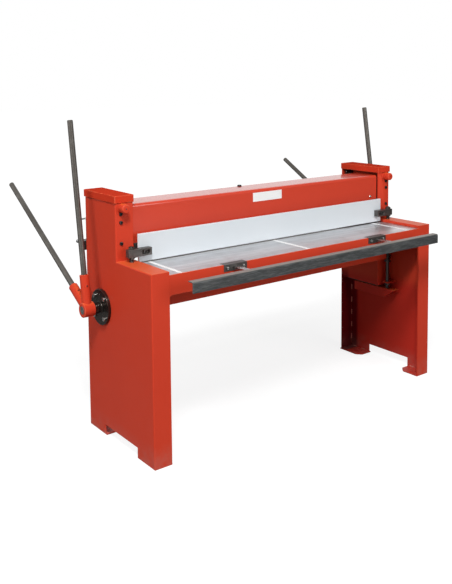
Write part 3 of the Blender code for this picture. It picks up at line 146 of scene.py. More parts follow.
class Shader:
    """A node tree with one method for each kind of step that the finishes use."""

    def __init__(self, tree: bpy.types.NodeTree) -> None:
        """Starts on a tree."""
        self.tree = tree

    def node(self, kind: str, settings: dict | None = None, inputs: dict | None = None, output: int = 0) -> Signal:
        """Adds a node.

        Args:
            kind: Type of the node.
            settings: Its properties, set first.
            inputs: Values or signals of its sockets, by index or name.
            output: Index of the socket that is returned.

        Returns:
            The signal of that socket.
        """
        made = self.tree.nodes.new(kind)
        for name, value in (settings or {}).items():
            setattr(made, name, value)
        for key, value in (inputs or {}).items():
            if isinstance(value, Signal):
                self.tree.links.new(value.socket, made.inputs[key])
            else:
                made.inputs[key].default_value = value
        return Signal(self, made.outputs[output])

    def maths(self, operation: str, *values: "Signal | float") -> Signal:
        """Adds a Math node on its values."""
        return self.node("ShaderNodeMath", {"operation": operation}, dict(enumerate(values)))

    def vector(self, operation: str, *values: "Signal | Sequence[float]", output: int = 0) -> Signal:
        """Adds a Vector Math node on its values."""
        return self.node("ShaderNodeVectorMath", {"operation": operation}, dict(enumerate(values)), output)

    def blend(self, mask: "Signal | float", first: "Signal | Colour", second: "Signal | Colour") -> Signal:
        """Mixes two colours.

        Args:
            mask: 0 for the first colour and 1 for the second.
            first: First colour.
            second: Second colour.

        Returns:
            The mixed colour.
        """
        ends = [value if isinstance(value, Signal) else (*value, 1.0) for value in (first, second)]
        return self.node("ShaderNodeMix", {"data_type": "RGBA"}, {0: mask, 6: ends[0], 7: ends[1]}, 2)

    def place(self) -> Signal:
        """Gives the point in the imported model's frame at rest."""
        return self.node("ShaderNodeTexCoord", output=3)

    def axes(self, place: Signal) -> tuple[Signal, Signal, Signal]:
        """Splits a point into X, Y and Z."""
        first = self.node("ShaderNodeSeparateXYZ", inputs={0: place})
        return tuple(Signal(self, socket) for socket in first.socket.node.outputs)

    def point(self, x: "Signal | float", y: "Signal | float", z: "Signal | float") -> Signal:
        """Joins three values to a point."""
        return self.node("ShaderNodeCombineXYZ", inputs={0: x, 1: y, 2: z})

    def noise(self, place: Signal, scale: float, detail: float = 2.0, roughness: float = 0.5) -> Signal:
        """Gives soft noise about 0.5 at a point."""
        return self.node("ShaderNodeTexNoise", inputs={"Vector": place, "Scale": scale, "Detail": detail,
                                                       "Roughness": roughness})

    def upward(self) -> Signal:
        """Gives 1 on faces that look up at rest."""
        return self.axes(self.node("ShaderNodeTexCoord", output=1))[2].ramp(0.7, 0.95)

    def eased(self) -> Signal:
        """Gives 1 on the faces that an eased edge is made of."""
        return self.node("ShaderNodeAttribute", {"attribute_name": "eased"}, output=2)

    def grain(self, place: Signal, way: Sequence[float], along: float, across: float) -> Signal:
        """Stretches a point so that noise on it runs as grain.

        Args:
            place: The point.
            way: Unit vector along the grain.
            along: Scale along it.
            across: Scale across it.

        Returns:
            The stretched point.
        """
        reach = self.vector("DOT_PRODUCT", place, way, output=1)
        wide = self.vector("MULTIPLY", place, (across,) * 3)
        pull = reach * (along - across)
        return self.vector("ADD", wide, self.point(pull * way[0], pull * way[1], pull * way[2]))

    def bump(self, height: Signal, depth: float) -> Signal:
        """Turns a height from 0 to 1 into a normal, with the depth of a height of 1."""
        return self.node("ShaderNodeBump", inputs={"Height": height, "Distance": depth, "Strength": 1.0})


class Surface(Shader):
    """The shader of a new material with one principled surface."""

    def __init__(self, name: str) -> None:
        """Makes the material."""
        self.material = bpy.data.materials.new(name)
        self.material.use_nodes = True
        super().__init__(self.material.node_tree)
        self.surface = self.tree.nodes["Principled BSDF"]

    def put(self, **values: "Signal | float | Colour") -> bpy.types.Material:
        """Feeds the surface's sockets, named with underscores for spaces.

        Args:
            **values: Constants or signals.

        Returns:
            The material.
        """
        for name, value in values.items():
            socket = self.surface.inputs[name.replace("_", " ").title().replace("Ior", "IOR")]
            if isinstance(value, Signal):
                self.tree.links.new(value.socket, socket)
            else:
                socket.default_value = (*value, 1.0) if isinstance(value, tuple) else value
        return self.material


@dataclass(frozen=True)
class Enamel:
    """Sprayed enamel: orange peel, slow clouds of tone, thin and lighter on edges (worn paint and a painted
    highlight), dusty by the floor, with optional painted light on faces that look up and painted shade inside the
    legs.
    """

    name: str
    colour: Colour
    cloud: Colour
    edge_wear_and_highlight: Colour
    roughness: float = 0.36
    gloss: float = 0.14
    coat: float = 0.0
    coat_roughness: float = 0.16
    peel: float = 0.00006
    dust: float = 0.35
    # Painted light: colour for faces that look up, lighter and more orange where the lamps fall on them.
    top_light: Colour | None = None
    # Painted shade: colours that stand in for the shade inside the legs and, darker, in their rear corners.
    inside: Colour | None = None
    corner_shade: Colour | None = None

    def material(self) -> bpy.types.Material:
        """Makes the material."""
        surface = Surface(self.name)
        place = surface.place()
        x, y, height = surface.axes(place)
        cloud = surface.noise(place, 2.2, 3.0).ramp(0.35, 0.7)
        scuff = surface.noise(surface.grain(place, (0, 0.25, 0.97), 9.0, 60.0), 1.0, 4.0, 0.6).ramp(0.62, 0.78)
        edge = surface.eased() * surface.noise(place, 70.0, 3.0).ramp(0.38, 0.62)
        chips = surface.eased() * (surface.noise(place, 240.0, 2.0) > 0.64)
        dust = (1 - height.ramp(0.0, 0.09)) * surface.noise(place, 30.0, 4.0).ramp(0.3, 0.75) * self.dust
        tone = surface.blend(cloud * 0.5, self.colour, self.cloud)
        # Painted shade: inside the legs, below the table, the paint turns deeper red, and darker still towards the
        # rear corners.
        if self.inside:
            shade_mask = (abs(x) < LEG[1].x - 0.003) * (y < LEG[1].y - 0.003) * (y > LEG[0].y + 0.003)
            shade_mask = shade_mask * (abs(x) > LEG[0].x + 0.001) * (1 - height.ramp(0.38, 0.43))
            tone = surface.blend(shade_mask * 0.8, tone, self.inside)
            tone = surface.blend(shade_mask * (y - LEG[1].y).ramp(-0.055, -0.037), tone, self.corner_shade)
        # Painted light: faces that look up, higher than 0.3 m, turn lighter and more orange.
        if self.top_light:
            tone = surface.blend(surface.upward() * (height > 0.3) * (0.55 + cloud * 0.45), tone, self.top_light)
        # Eased edges turn lighter: partly paint worn thin there, partly a painted highlight.
        tone = surface.blend(edge * 0.45, tone, self.edge_wear_and_highlight)
        tone = surface.blend(chips * 0.5, tone, (0.16, 0.13, 0.12))
        tone = surface.blend(dust, tone, (0.33, 0.27, 0.23))
        peel = surface.noise(place, 420.0, 2.0, 0.4) + surface.noise(place, 38.0, 1.0) * 1.6
        return surface.put(base_color=tone, roughness=self.roughness + cloud * 0.05 + scuff * 0.09 + dust * 0.3,
                           specular_ior_level=self.gloss, coat_weight=self.coat, coat_roughness=self.coat_roughness,
                           normal=surface.bump(peel, self.peel))


@dataclass(frozen=True)
class GrainedSteel:
    """Ground, drawn or rolled steel with its grain along one direction, lighter on eased edges (wear and a painted
    highlight), with painted light on faces that look up where a top colour is given.
    """

    name: str
    colour: Colour
    streak: Colour
    way: tuple[float, float, float] = (1.0, 0.0, 0.0)
    along: float = 5.0
    across: float = 420.0
    roughness: float = 0.3
    metallic: float = 1.0
    depth: float = 0.00003
    contrast: float = 0.6
    spread: float = 0.2
    band: float = 0.09
    # Painted light: colour that faces looking up are lightened towards.
    top: Colour | None = None
    stain: float = 0.2
    stain_colour: Colour = (0.2, 0.16, 0.13)

    def material(self) -> bpy.types.Material:
        """Makes the material."""
        surface = Surface(self.name)
        place = surface.place()
        fine = surface.noise(surface.grain(place, self.way, self.along, self.across), 1.0, 3.0, 0.7)
        broad = surface.noise(surface.grain(place, self.way, self.along * 0.3, self.across * self.band), 1.0, 2.0)
        stain = surface.noise(place, 11.0, 5.0, 0.65).ramp(0.5, 0.75)
        lines = fine.ramp(0.5 - self.spread, 0.5 + self.spread)
        tone = surface.blend(lines * self.contrast, self.colour, self.streak)
        tone = surface.blend(broad.ramp(0.42, 0.66) * self.contrast * 0.8, tone, self.streak)
        tone = surface.blend(stain * self.stain, tone, self.stain_colour)
        # Painted light: faces that look up are lightened towards the top colour.
        if self.top:
            tone = surface.blend(surface.upward() * (0.6 + fine * 0.5), tone, self.top)
        # Eased edges turn lighter: partly bright worn steel, partly a painted highlight.
        tone = surface.blend(surface.eased() * 0.4, tone, tuple(min(1.0, 1.5 * part + 0.06) for part in self.colour))
        rough = self.roughness + (fine - 0.5) * 0.22 + stain * 0.1
        return surface.put(base_color=tone, metallic=self.metallic, roughness=rough,
                           normal=surface.bump(fine, self.depth))


@dataclass(frozen=True)
class TurnedSteel:
    """Steel turned on a lathe about a line along X, with fine rings and an oily dark skin."""

    name: str
    colour: Colour
    ring: Colour
    centre: tuple[float, float]
    roughness: float = 0.32
    metallic: float = 1.0
    rings: float = 900.0

    def material(self) -> bpy.types.Material:
        """Makes the material."""
        surface = Surface(self.name)
        place = surface.place()
        x, y, z = surface.axes(place)
        radius = ((y - self.centre[0]) ** 2.0 + (z - self.centre[1]) ** 2.0) ** 0.5
        lines = surface.noise(surface.point(radius * self.rings, x * self.rings, 0.0), 1.0, 2.0, 0.6)
        cast = surface.noise(place, 34.0, 5.0, 0.6).ramp(0.35, 0.7)
        tone = surface.blend(lines.ramp(0.35, 0.65) * 0.6, self.colour, self.ring)
        tone = surface.blend(cast * 0.45, tone, tuple(part * 0.45 for part in self.colour))
        # Eased edges turn lighter: partly bright worn steel, partly a painted highlight.
        tone = surface.blend(surface.eased() * 0.5, tone, tuple(min(1.0, part * 2.2) for part in self.ring))
        return surface.put(base_color=tone, metallic=self.metallic, roughness=self.roughness + (lines - 0.5) * 0.3,
                           normal=surface.bump(lines, 0.00003))


@dataclass(frozen=True)
class ThreadedSteel:
    """Steel of a rod on either side, with a thread cut about its upright line."""

    name: str
    colour: Colour
    centre: tuple[float, float]
    pitch: float
    start: float
    end: float
    roughness: float = 0.35

    def material(self) -> bpy.types.Material:
        """Makes the material."""
        surface = Surface(self.name)
        place = surface.place()
        x, y, z = surface.axes(place)
        turn = surface.maths("ARCTAN2", y - self.centre[1], abs(x) - self.centre[0])
        wave = (z * (2 * math.pi / self.pitch) + turn).sine() * 0.5 + 0.5
        cut = (z > self.start) * (z < self.end)
        wear = surface.noise(place, 120.0, 4.0, 0.6)
        # Painted shade: the thread's valleys are darkened as well as bumped.
        tone = surface.blend(cut * (1 - wave) * 0.7, self.colour, tuple(part * 0.25 for part in self.colour))
        tone = surface.blend(wear.ramp(0.45, 0.7) * 0.4, tone, tuple(part * 0.5 for part in self.colour))
        return surface.put(base_color=tone, metallic=0.9, roughness=self.roughness + (wear - 0.5) * 0.2,
                           normal=surface.bump(wave * cut, 0.0006))


@dataclass(frozen=True)
class Oxide:
    """Blackened or plated steel of screws, nuts and springs."""

    name: str
    colour: Colour
    rub: Colour
    roughness: float = 0.34
    metallic: float = 0.9

    def material(self) -> bpy.types.Material:
        """Makes the material."""
        surface = Surface(self.name)
        place = surface.place()
        rub = surface.noise(place, 160.0, 4.0, 0.6).ramp(0.48, 0.72)
        tone = surface.blend(rub * 0.5, self.colour, self.rub)
        # Eased edges take the rubbed colour: partly worn bright metal, partly a painted rim highlight.
        tone = surface.blend(surface.eased() * 0.6, tone, self.rub)
        return surface.put(base_color=tone, metallic=self.metallic, roughness=self.roughness + rub * 0.12,
                           normal=surface.bump(surface.noise(place, 900.0, 2.0), 0.00002))


@dataclass(frozen=True)
class ScaleTape:
    """White scale with plain black millimetre lines across it, longer at 5 and 10."""

    name: str
    start: float
    width: float
    middles: tuple[float, float, float]

    def material(self) -> bpy.types.Material:
        """Makes the material."""
        surface = Surface(self.name)
        place = surface.place()
        x, y, z = surface.axes(place)
        near, middle, far = (abs(x - strip) for strip in self.middles)
        reach = surface.maths("MINIMUM", surface.maths("MINIMUM", near, middle), far)
        share = 1 - reach / (self.width / 2)
        length = (y - self.start) * 1000

        def lines(every: float, thick: float, least: float) -> Signal:
            """Draws a line at each step of the scale, from the strip's edges in to a share of its half width."""
            return ((length / every).fraction() < thick / every) * (share < least)

        ink = surface.maths("MAXIMUM", lines(1.0, 0.15, 0.25), lines(5.0, 0.2, 0.4))
        ink = surface.maths("MAXIMUM", ink, lines(10.0, 0.25, 0.6))
        grime = surface.noise(place, 60.0, 4.0, 0.6).ramp(0.5, 0.8)
        tone = surface.blend(ink * 0.75, (0.95, 0.95, 0.94), (0.04, 0.04, 0.045))
        tone = surface.blend(grime * 0.18, tone, (0.5, 0.47, 0.42))
        return surface.put(base_color=tone, roughness=0.35 + grime * 0.1)


def lever_steel(name: str, angle: float) -> GrainedSteel:
    """Gives the drawn steel of a lever that leans at an angle."""
    return GrainedSteel(name, (0.155, 0.143, 0.128), (0.07, 0.062, 0.054),
                        way=(0.0, math.cos(angle), math.sin(angle)), along=7.0, across=330.0, roughness=0.44,
                        metallic=0.6, depth=0.00004, contrast=0.7, stain=0.45, stain_colour=(0.25, 0.235, 0.215))


class Finish(Enum):
    """The finishes of the machine."""

    # PAINT has painted shade inside the legs and in their rear corners, and painted light on faces that look up.
    PAINT = Enamel("orange_red_enamel", (0.62, 0.052, 0.022), (0.56, 0.042, 0.018), (0.85, 0.17, 0.08),
                   top_light=(0.72, 0.115, 0.030), inside=(0.58, 0.028, 0.018), corner_shade=(0.17, 0.004, 0.008))
    WELD = Enamel("thin_enamel_on_weld", (0.66, 0.25, 0.19), (0.50, 0.12, 0.08), (0.85, 0.55, 0.45), peel=0.0002)
    CAP_PAINT = Enamel("cap_enamel", (0.60, 0.047, 0.020), (0.55, 0.038, 0.016), (0.85, 0.17, 0.08), 0.6, 0.0)
    BEAM_PAINT = Enamel("beam_enamel", (0.62, 0.050, 0.020), (0.57, 0.042, 0.017), (0.85, 0.17, 0.08), gloss=0.35,
                        coat=0.9, coat_roughness=0.09, peel=0.00002)
    PALE_PLATE = Enamel("pale_plate_enamel", (0.66, 0.70, 0.73), (0.61, 0.66, 0.70), (0.9, 0.92, 0.94), 0.42, 0.4,
                        peel=0.00003, dust=0.0)
    LABEL = Enamel("white_label", (0.86, 0.86, 0.85), (0.80, 0.80, 0.79), (0.9, 0.9, 0.9), 0.4, 0.5,
                   peel=0.00001, dust=0.0)
    TABLE = GrainedSteel("table_ground_steel", (0.46, 0.46, 0.475), (0.76, 0.76, 0.775), roughness=0.38,
                         contrast=0.8, metallic=0.85, stain=0.25, stain_colour=(0.26, 0.25, 0.26))
    # The blades' dark colour is partly oiled steel, partly painted shade for the gap under the hold-down plate.
    BLADE = GrainedSteel("blade_oiled_and_shaded_steel", (0.10, 0.095, 0.09), (0.05, 0.047, 0.045), roughness=0.45,
                         metallic=0.6, contrast=0.5, stain=0.3)
    SHAFT = TurnedSteel("turned_shaft_steel", (0.22, 0.21, 0.195), (0.36, 0.34, 0.32), (AXLE.y, AXLE.z), 0.36, 0.8)
    ROD = GrainedSteel("gauge_rod_steel", (0.52, 0.52, 0.52), (0.38, 0.37, 0.36), way=(0.0, 1.0, 0.0),
                       roughness=0.24, contrast=0.5)
    # The bar's top colour is painted light on its upper flange.
    BAR = GrainedSteel("rolled_bar_steel", (0.115, 0.122, 0.124), (0.040, 0.043, 0.044), roughness=0.45,
                       metallic=0.35, along=24.0, across=260.0, depth=0.00008, contrast=0.85, spread=0.1,
                       band=0.4, top=(0.27, 0.24, 0.215), stain=0.2, stain_colour=(0.20, 0.19, 0.175))
    BRACKET = GrainedSteel("bracket_milled_steel", (0.135, 0.125, 0.12), (0.07, 0.065, 0.06), roughness=0.4,
                           metallic=0.8, across=260.0, contrast=0.6, stain=0.3, stain_colour=(0.22, 0.2, 0.19))
    GUIDE = GrainedSteel("guide_plate_steel", (0.12, 0.11, 0.105), (0.06, 0.055, 0.05), way=(0.0, 0.0, 1.0),
                         roughness=0.38, metallic=0.85, across=300.0, contrast=0.6, stain=0.3)
    UPRIGHT_LEVER = lever_steel("upright_lever_steel", UPRIGHT_ANGLE)
    REAR_LEVER = lever_steel("rear_lever_steel", REAR_ANGLE)
    BEARING = TurnedSteel("turned_bearing_steel", (0.062, 0.052, 0.045), (0.125, 0.112, 0.10), (AXLE.y, AXLE.z),
                          0.27, 0.9)
    BRONZE = TurnedSteel("turned_bronze", (0.45, 0.28, 0.12), (0.6, 0.4, 0.2), (AXLE.y, AXLE.z))
    BLACK = Oxide("black_oxide", (0.034, 0.033, 0.034), (0.20, 0.195, 0.19))
    ZINC = Oxide("bright_zinc", (0.55, 0.55, 0.53), (0.72, 0.72, 0.7), 0.26, 1.0)
    NUT = Oxide("dark_nut", (0.085, 0.070, 0.060), (0.22, 0.19, 0.165), 0.4)
    SOCKET = Oxide("socket_screw_with_highlit_worn_rim", (0.075, 0.072, 0.07), (0.36, 0.35, 0.34), 0.3)
    SPRING = Oxide("oiled_spring_steel", (0.05, 0.046, 0.043), (0.16, 0.15, 0.14), 0.3)
    HOLD_ROD = ThreadedSteel("threaded_hold_down_rod", (0.10, 0.093, 0.088),
                             (ROD_X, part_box("rod_nut_left")[0].y + 0.01169), 0.00175, 0.7, 0.8)
    SCALE = ScaleTape("white_scale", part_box("table_front_plate")[0].y, STRIP_WIDTH, STRIP_PLACES)

    @functools.cache
    def material(self) -> bpy.types.Material:
        """Gives the finish's material, made once."""
        LOG.info("finish %s", self.value.name)
        return self.value.material()


FINISHED_NODES = {
    Finish.PAINT: "side_frame inner_plate front_rail blade_support_plate lever_hub lifter_foot",
    Finish.CAP_PAINT: "column_cap",
    Finish.BEAM_PAINT: "blade_beam",
    Finish.PALE_PLATE: "hold_down_plate",
    Finish.TABLE: "table_front_plate table_rear_plate",
    Finish.ROD: "front_bar_arm gauge_rod",
    Finish.BLADE: "lower_blade upper_blade",
    Finish.SHAFT: "cross_shaft crank_pin",
    Finish.ZINC: "clamp_screw",
    Finish.SPRING: "hold_down_spring",
    Finish.BAR: "front_bar gauge_bar",
    Finish.GUIDE: "gib rear_guide crank_arm slide_plate",
    Finish.BEARING: "bearing_flange",
    Finish.BRACKET: "bracket bar_block gauge_block",
    Finish.HOLD_ROD: "hold_down_rod",
    Finish.BLACK: "bracket_screw",
    Finish.NUT: "rod_nut",
    Finish.UPRIGHT_LEVER: "upright_lever",
    Finish.REAR_LEVER: "rear_lever",
    Finish.BRONZE: "bearing_bush",
}
NODE_FINISHES = {node: finish for finish, nodes in FINISHED_NODES.items() for node in nodes.split()}


def finish_of(node: str) -> Finish:
    """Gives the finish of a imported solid."""
    return NODE_FINISHES[node.removesuffix("_left").removesuffix("_right")]


def turn_to(direction: Sequence[float]) -> Matrix:
    """Gives the turn that takes +Z to a direction."""
    return Vector((0, 0, 1)).rotation_difference(Vector(direction)).to_matrix().to_4x4()


class Workpiece:
    """A piece while it is shaped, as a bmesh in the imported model's frame."""

    def __init__(self) -> None:
        """Starts empty."""
        self.bm = bmesh.new()

    @classmethod
    def from_node(cls, node: str) -> "Workpiece":
        """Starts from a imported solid, with its loose triangles merged to plain faces."""
        work = cls()
        work.bm.from_mesh(frame["nodes"][node].data)
        bmesh.ops.remove_doubles(work.bm, verts=work.bm.verts, dist=0.00002)
        bmesh.ops.dissolve_limit(work.bm, angle_limit=math.radians(0.5), verts=work.bm.verts, edges=work.bm.edges)
        return work

    def absorb(self, part: bmesh.types.BMesh, place: Matrix) -> "Workpiece":
        """Adds a shape at its place and frees it."""
        bmesh.ops.recalc_face_normals(part, faces=part.faces)
        mesh = bpy.data.meshes.new("shape")
        part.to_mesh(mesh)
        part.free()
        mesh.transform(place)
        self.bm.from_mesh(mesh)
        bpy.data.meshes.remove(mesh)
        return self

    def box(self, low: Sequence[float], high: Sequence[float]) -> "Workpiece":
        """Adds a box between two corners."""
        part = bmesh.new()
        bmesh.ops.create_cube(part, size=1)
        size = [top - base for base, top in zip(low, high)]
        bmesh.ops.scale(part, verts=part.verts, vec=size)
        return self.absorb(part, Matrix.Translation([(base + top) / 2 for base, top in zip(low, high)]))

    def turned(self, profile: Sequence[tuple[float, float]], place: Matrix, steps: int = 48) -> "Workpiece":
        """Adds a turned shape.

        Args:
            profile: Radius and height of each point; it closes to a loop where it has a bore.
            place: Turn and place of the shape, drawn along +Z.
            steps: Steps of the full turn.

        Returns:
            This workpiece.
        """
        part = bmesh.new()
        verts = [part.verts.new((radius, 0, height)) for radius, height in profile]
        edges = [part.edges.new(pair) for pair in zip(verts, verts[1:])]
        if min(radius for radius, height in profile) > 0:
            edges.append(part.edges.new((verts[-1], verts[0])))
        bmesh.ops.spin(part, geom=verts + edges, cent=(0, 0, 0), axis=(0, 0, 1), dvec=(0, 0, 0),
                       angle=2 * math.pi, steps=steps, use_merge=True, use_duplicate=False)
        bmesh.ops.remove_doubles(part, verts=part.verts, dist=0.000002)
        return self.absorb(part, place)

    def screw_head(self, seat: Sequence[float], direction: Sequence[float], radius: float, height: float,
                   depth: float | None = None) -> "Workpiece":
        """Adds the head of a hexagon socket screw.

        Args:
            seat: Middle of the face that it stands on.
            direction: Way from the seat to the top of the head.
            radius: Radius of the head.
            height: Height of the head.
            depth: Depth of the socket.

        Returns:
            This workpiece.
        """
        part = bmesh.new()
        bmesh.ops.create_cone(part, cap_ends=True, segments=24, radius1=radius, radius2=radius, depth=height)
        top = max(part.faces, key=lambda face: face.calc_center_median().z)
        bmesh.ops.inset_region(part, faces=[top], thickness=radius * 0.13, depth=0)
        bmesh.ops.translate(part, verts=top.verts, vec=(0, 0, radius * 0.1))
        bmesh.ops.inset_region(part, faces=[top], thickness=radius * 0.25, depth=0)
        for vert in top.verts:
            angle = math.atan2(vert.co.y, vert.co.x)
            reach = radius * 0.5 / math.cos((angle % (math.pi / 3)) - math.pi / 6)
            vert.co.x, vert.co.y = reach * math.cos(angle), reach * math.sin(angle)
        bmesh.ops.inset_region(part, faces=[top], thickness=radius * 0.02, depth=-(depth or height * 0.6))
        stand = Matrix.Translation((0, 0, height / 2))
        return self.absorb(part, Matrix.Translation(seat) @ turn_to(direction) @ stand)

    def hex_head(self, seat: Sequence[float], direction: Sequence[float], radius: float, height: float,
                 bore: float = 0.0, washer: float = 0.0) -> "Workpiece":
        """Adds a hexagon head or nut with a chamfered top, and a washer under it.

        Args:
            seat: Middle of the face that it stands on.
            direction: Way from the seat to its top.
            radius: Radius over the corners.
            height: Height, the washer included.
            bore: Radius of the bore, or 0 for a head.
            washer: Thickness of the washer, or 0 for none.

        Returns:
            This workpiece.
        """
        place = Matrix.Translation(seat) @ turn_to(direction)
        self.turned([(bore, washer), (radius, washer), (radius, height - radius * 0.08), (radius * 0.9, height),
                     (bore, height)], place, 6)
        if washer:
            ring = [(bore or radius * 0.3, 0), (radius * 1.15, 0), (radius * 1.15, washer * 0.8),
                    (radius * 1.1, washer), (bore or radius * 0.3, washer)]
            self.turned(ring, place, 32)
        return self

    def bead(self, start: Sequence[float], end: Sequence[float], radius: float, pitch: float) -> "Workpiece":
        """Adds a weld bead as a row of overlapping drops.

        Args:
            start: One end of its line.
            end: Other end.
            radius: Radius of a drop.
            pitch: Distance between drops.

        Returns:
            This workpiece.
        """
        line = Vector(end) - Vector(start)
        count = max(1, round(line.length / pitch))
        for index in range(count + 1):
            part = bmesh.new()
            bmesh.ops.create_uvsphere(part, u_segments=10, v_segments=6, radius=radius)
            swell = 1 + 0.12 * math.sin(index * 2.4)
            self.absorb(part, Matrix.Translation(Vector(start) + line * index / count) @ Matrix.Diagonal(
                (swell, swell, 0.8, 1)))
        return self

    def coil(self, centre: Vector, radius: float, wire: float, low: float, high: float, turns: int) -> "Workpiece":
        """Adds a coil spring of round wire about an upright line.

        Args:
            centre: Any point of the line.
            radius: Radius to the middle of the wire.
            wire: Radius of the wire.
            low: Height of the wire's middle at its lower end.
            high: Height of the wire's middle at its upper end.
            turns: Number of turns.

        Returns:
            This workpiece.
        """
        part = bmesh.new()
        ring = bmesh.ops.create_circle(part, cap_ends=False, segments=12, radius=wire)["verts"]
        bmesh.ops.rotate(part, verts=ring, cent=(0, 0, 0), matrix=Matrix.Rotation(math.pi / 2, 3, "X"))
        bmesh.ops.translate(part, verts=ring, vec=(radius, 0, 0))
        steps = turns * 24
        bmesh.ops.spin(part, geom=ring + part.edges[:], cent=(0, 0, 0), axis=(0, 0, 1),
                       dvec=(0, 0, (high - low) / steps), angle=2 * math.pi * turns, steps=steps,
                       use_duplicate=False)
        bmesh.ops.holes_fill(part, edges=[edge for edge in part.edges if edge.is_boundary], sides=0)
        return self.absorb(part, Matrix.Translation((centre.x, centre.y, low)))

    def ease(self, width: float = 0.0008, steps: int = 2,
             chosen: Callable[[bmesh.types.BMEdge], bool] | None = None) -> "Workpiece":
        """Rounds the sharp edges and marks the faces that this makes.

        Args:
            width: Width of the rounding.
            steps: Faces across it.
            chosen: Further test of an edge.

        Returns:
            This workpiece.
        """
        eased = self.bm.faces.layers.float.get("eased") or self.bm.faces.layers.float.new("eased")
        edges = [edge for edge in self.bm.edges
                 if edge.is_manifold and edge.calc_face_angle(0) > SHARP
                 and (chosen is None or chosen(edge))]
        made = bmesh.ops.bevel(self.bm, geom=edges, offset=width, segments=steps, profile=0.5, affect="EDGES",
                               clamp_overlap=False, material=-1)
        for face in made["faces"]:
            face[eased] = 1.0
        return self

    def piece(self, name: str, body: str, finish: Finish, slot: str,
              covers: Iterable[str] = ()) -> bpy.types.Object:
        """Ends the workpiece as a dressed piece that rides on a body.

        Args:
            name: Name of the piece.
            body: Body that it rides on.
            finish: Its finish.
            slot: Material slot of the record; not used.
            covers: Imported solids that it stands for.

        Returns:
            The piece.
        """
        for face in self.bm.faces:
            face.smooth = True
        for edge in self.bm.edges:
            edge.smooth = edge.is_manifold and edge.calc_face_angle(0) < CREASE
        mesh = bpy.data.meshes.new(name)
        self.bm.to_mesh(mesh)
        self.bm.free()
        if "custom_normal" in mesh.attributes:
            mesh.attributes.remove(mesh.attributes["custom_normal"])
        mesh.materials.clear()
        mesh.materials.append(finish.material())
        made = bpy.data.objects.new(name, mesh)
        bpy.context.scene.collection.objects.link(made)
        made.modifiers.new("even_normals", "WEIGHTED_NORMAL").keep_sharp = True
        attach(made, body)
        if covers:
            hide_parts(*covers)
        LOG.info("piece %s on %s: %d faces", name, body, len(mesh.polygons))
        return made


def body_of(node: str) -> str:
    """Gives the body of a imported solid."""
    return frame["nodes"][node]["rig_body"]


def remake(node: str, work: Workpiece, finish: Finish | None = None) -> bpy.types.Object:
    """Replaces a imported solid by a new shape, in its own finish or another one."""
    return work.piece(f"{node}_fine", body_of(node), finish or finish_of(node), SLOTS[node], (node,))


def refine(node: str, width: float = 0.0008, steps: int = 2) -> bpy.types.Object:
    """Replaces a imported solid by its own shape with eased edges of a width, each of some faces."""
    return remake(node, Workpiece.from_node(node).ease(width, steps))


def pin(radius: float, low: float, high: float, edge: float) -> list[tuple[float, float]]:
    """Gives the profile of a round pin between two heights, with chamfers at its ends."""
    return [(0, low), (radius - edge, low), (radius, low + edge), (radius, high - edge), (radius - edge, high),
            (0, high)]


def middle(node: str) -> Vector:
    """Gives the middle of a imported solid's box."""
    low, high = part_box(node)
    return (low + high) / 2


def clear_of_seam(edge: bmesh.types.BMEdge) -> bool:
    """Tells whether an edge is off the flush seam of rail and legs and off the soles of the feet."""
    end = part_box("front_rail")[1].x
    return not (all(abs(abs(vert.co.x) - end) < 0.0006 for vert in edge.verts)
                or all(vert.co.z < 0.0062 and abs(vert.co.x) > LEG[1].x - 0.0065 for vert in edge.verts))


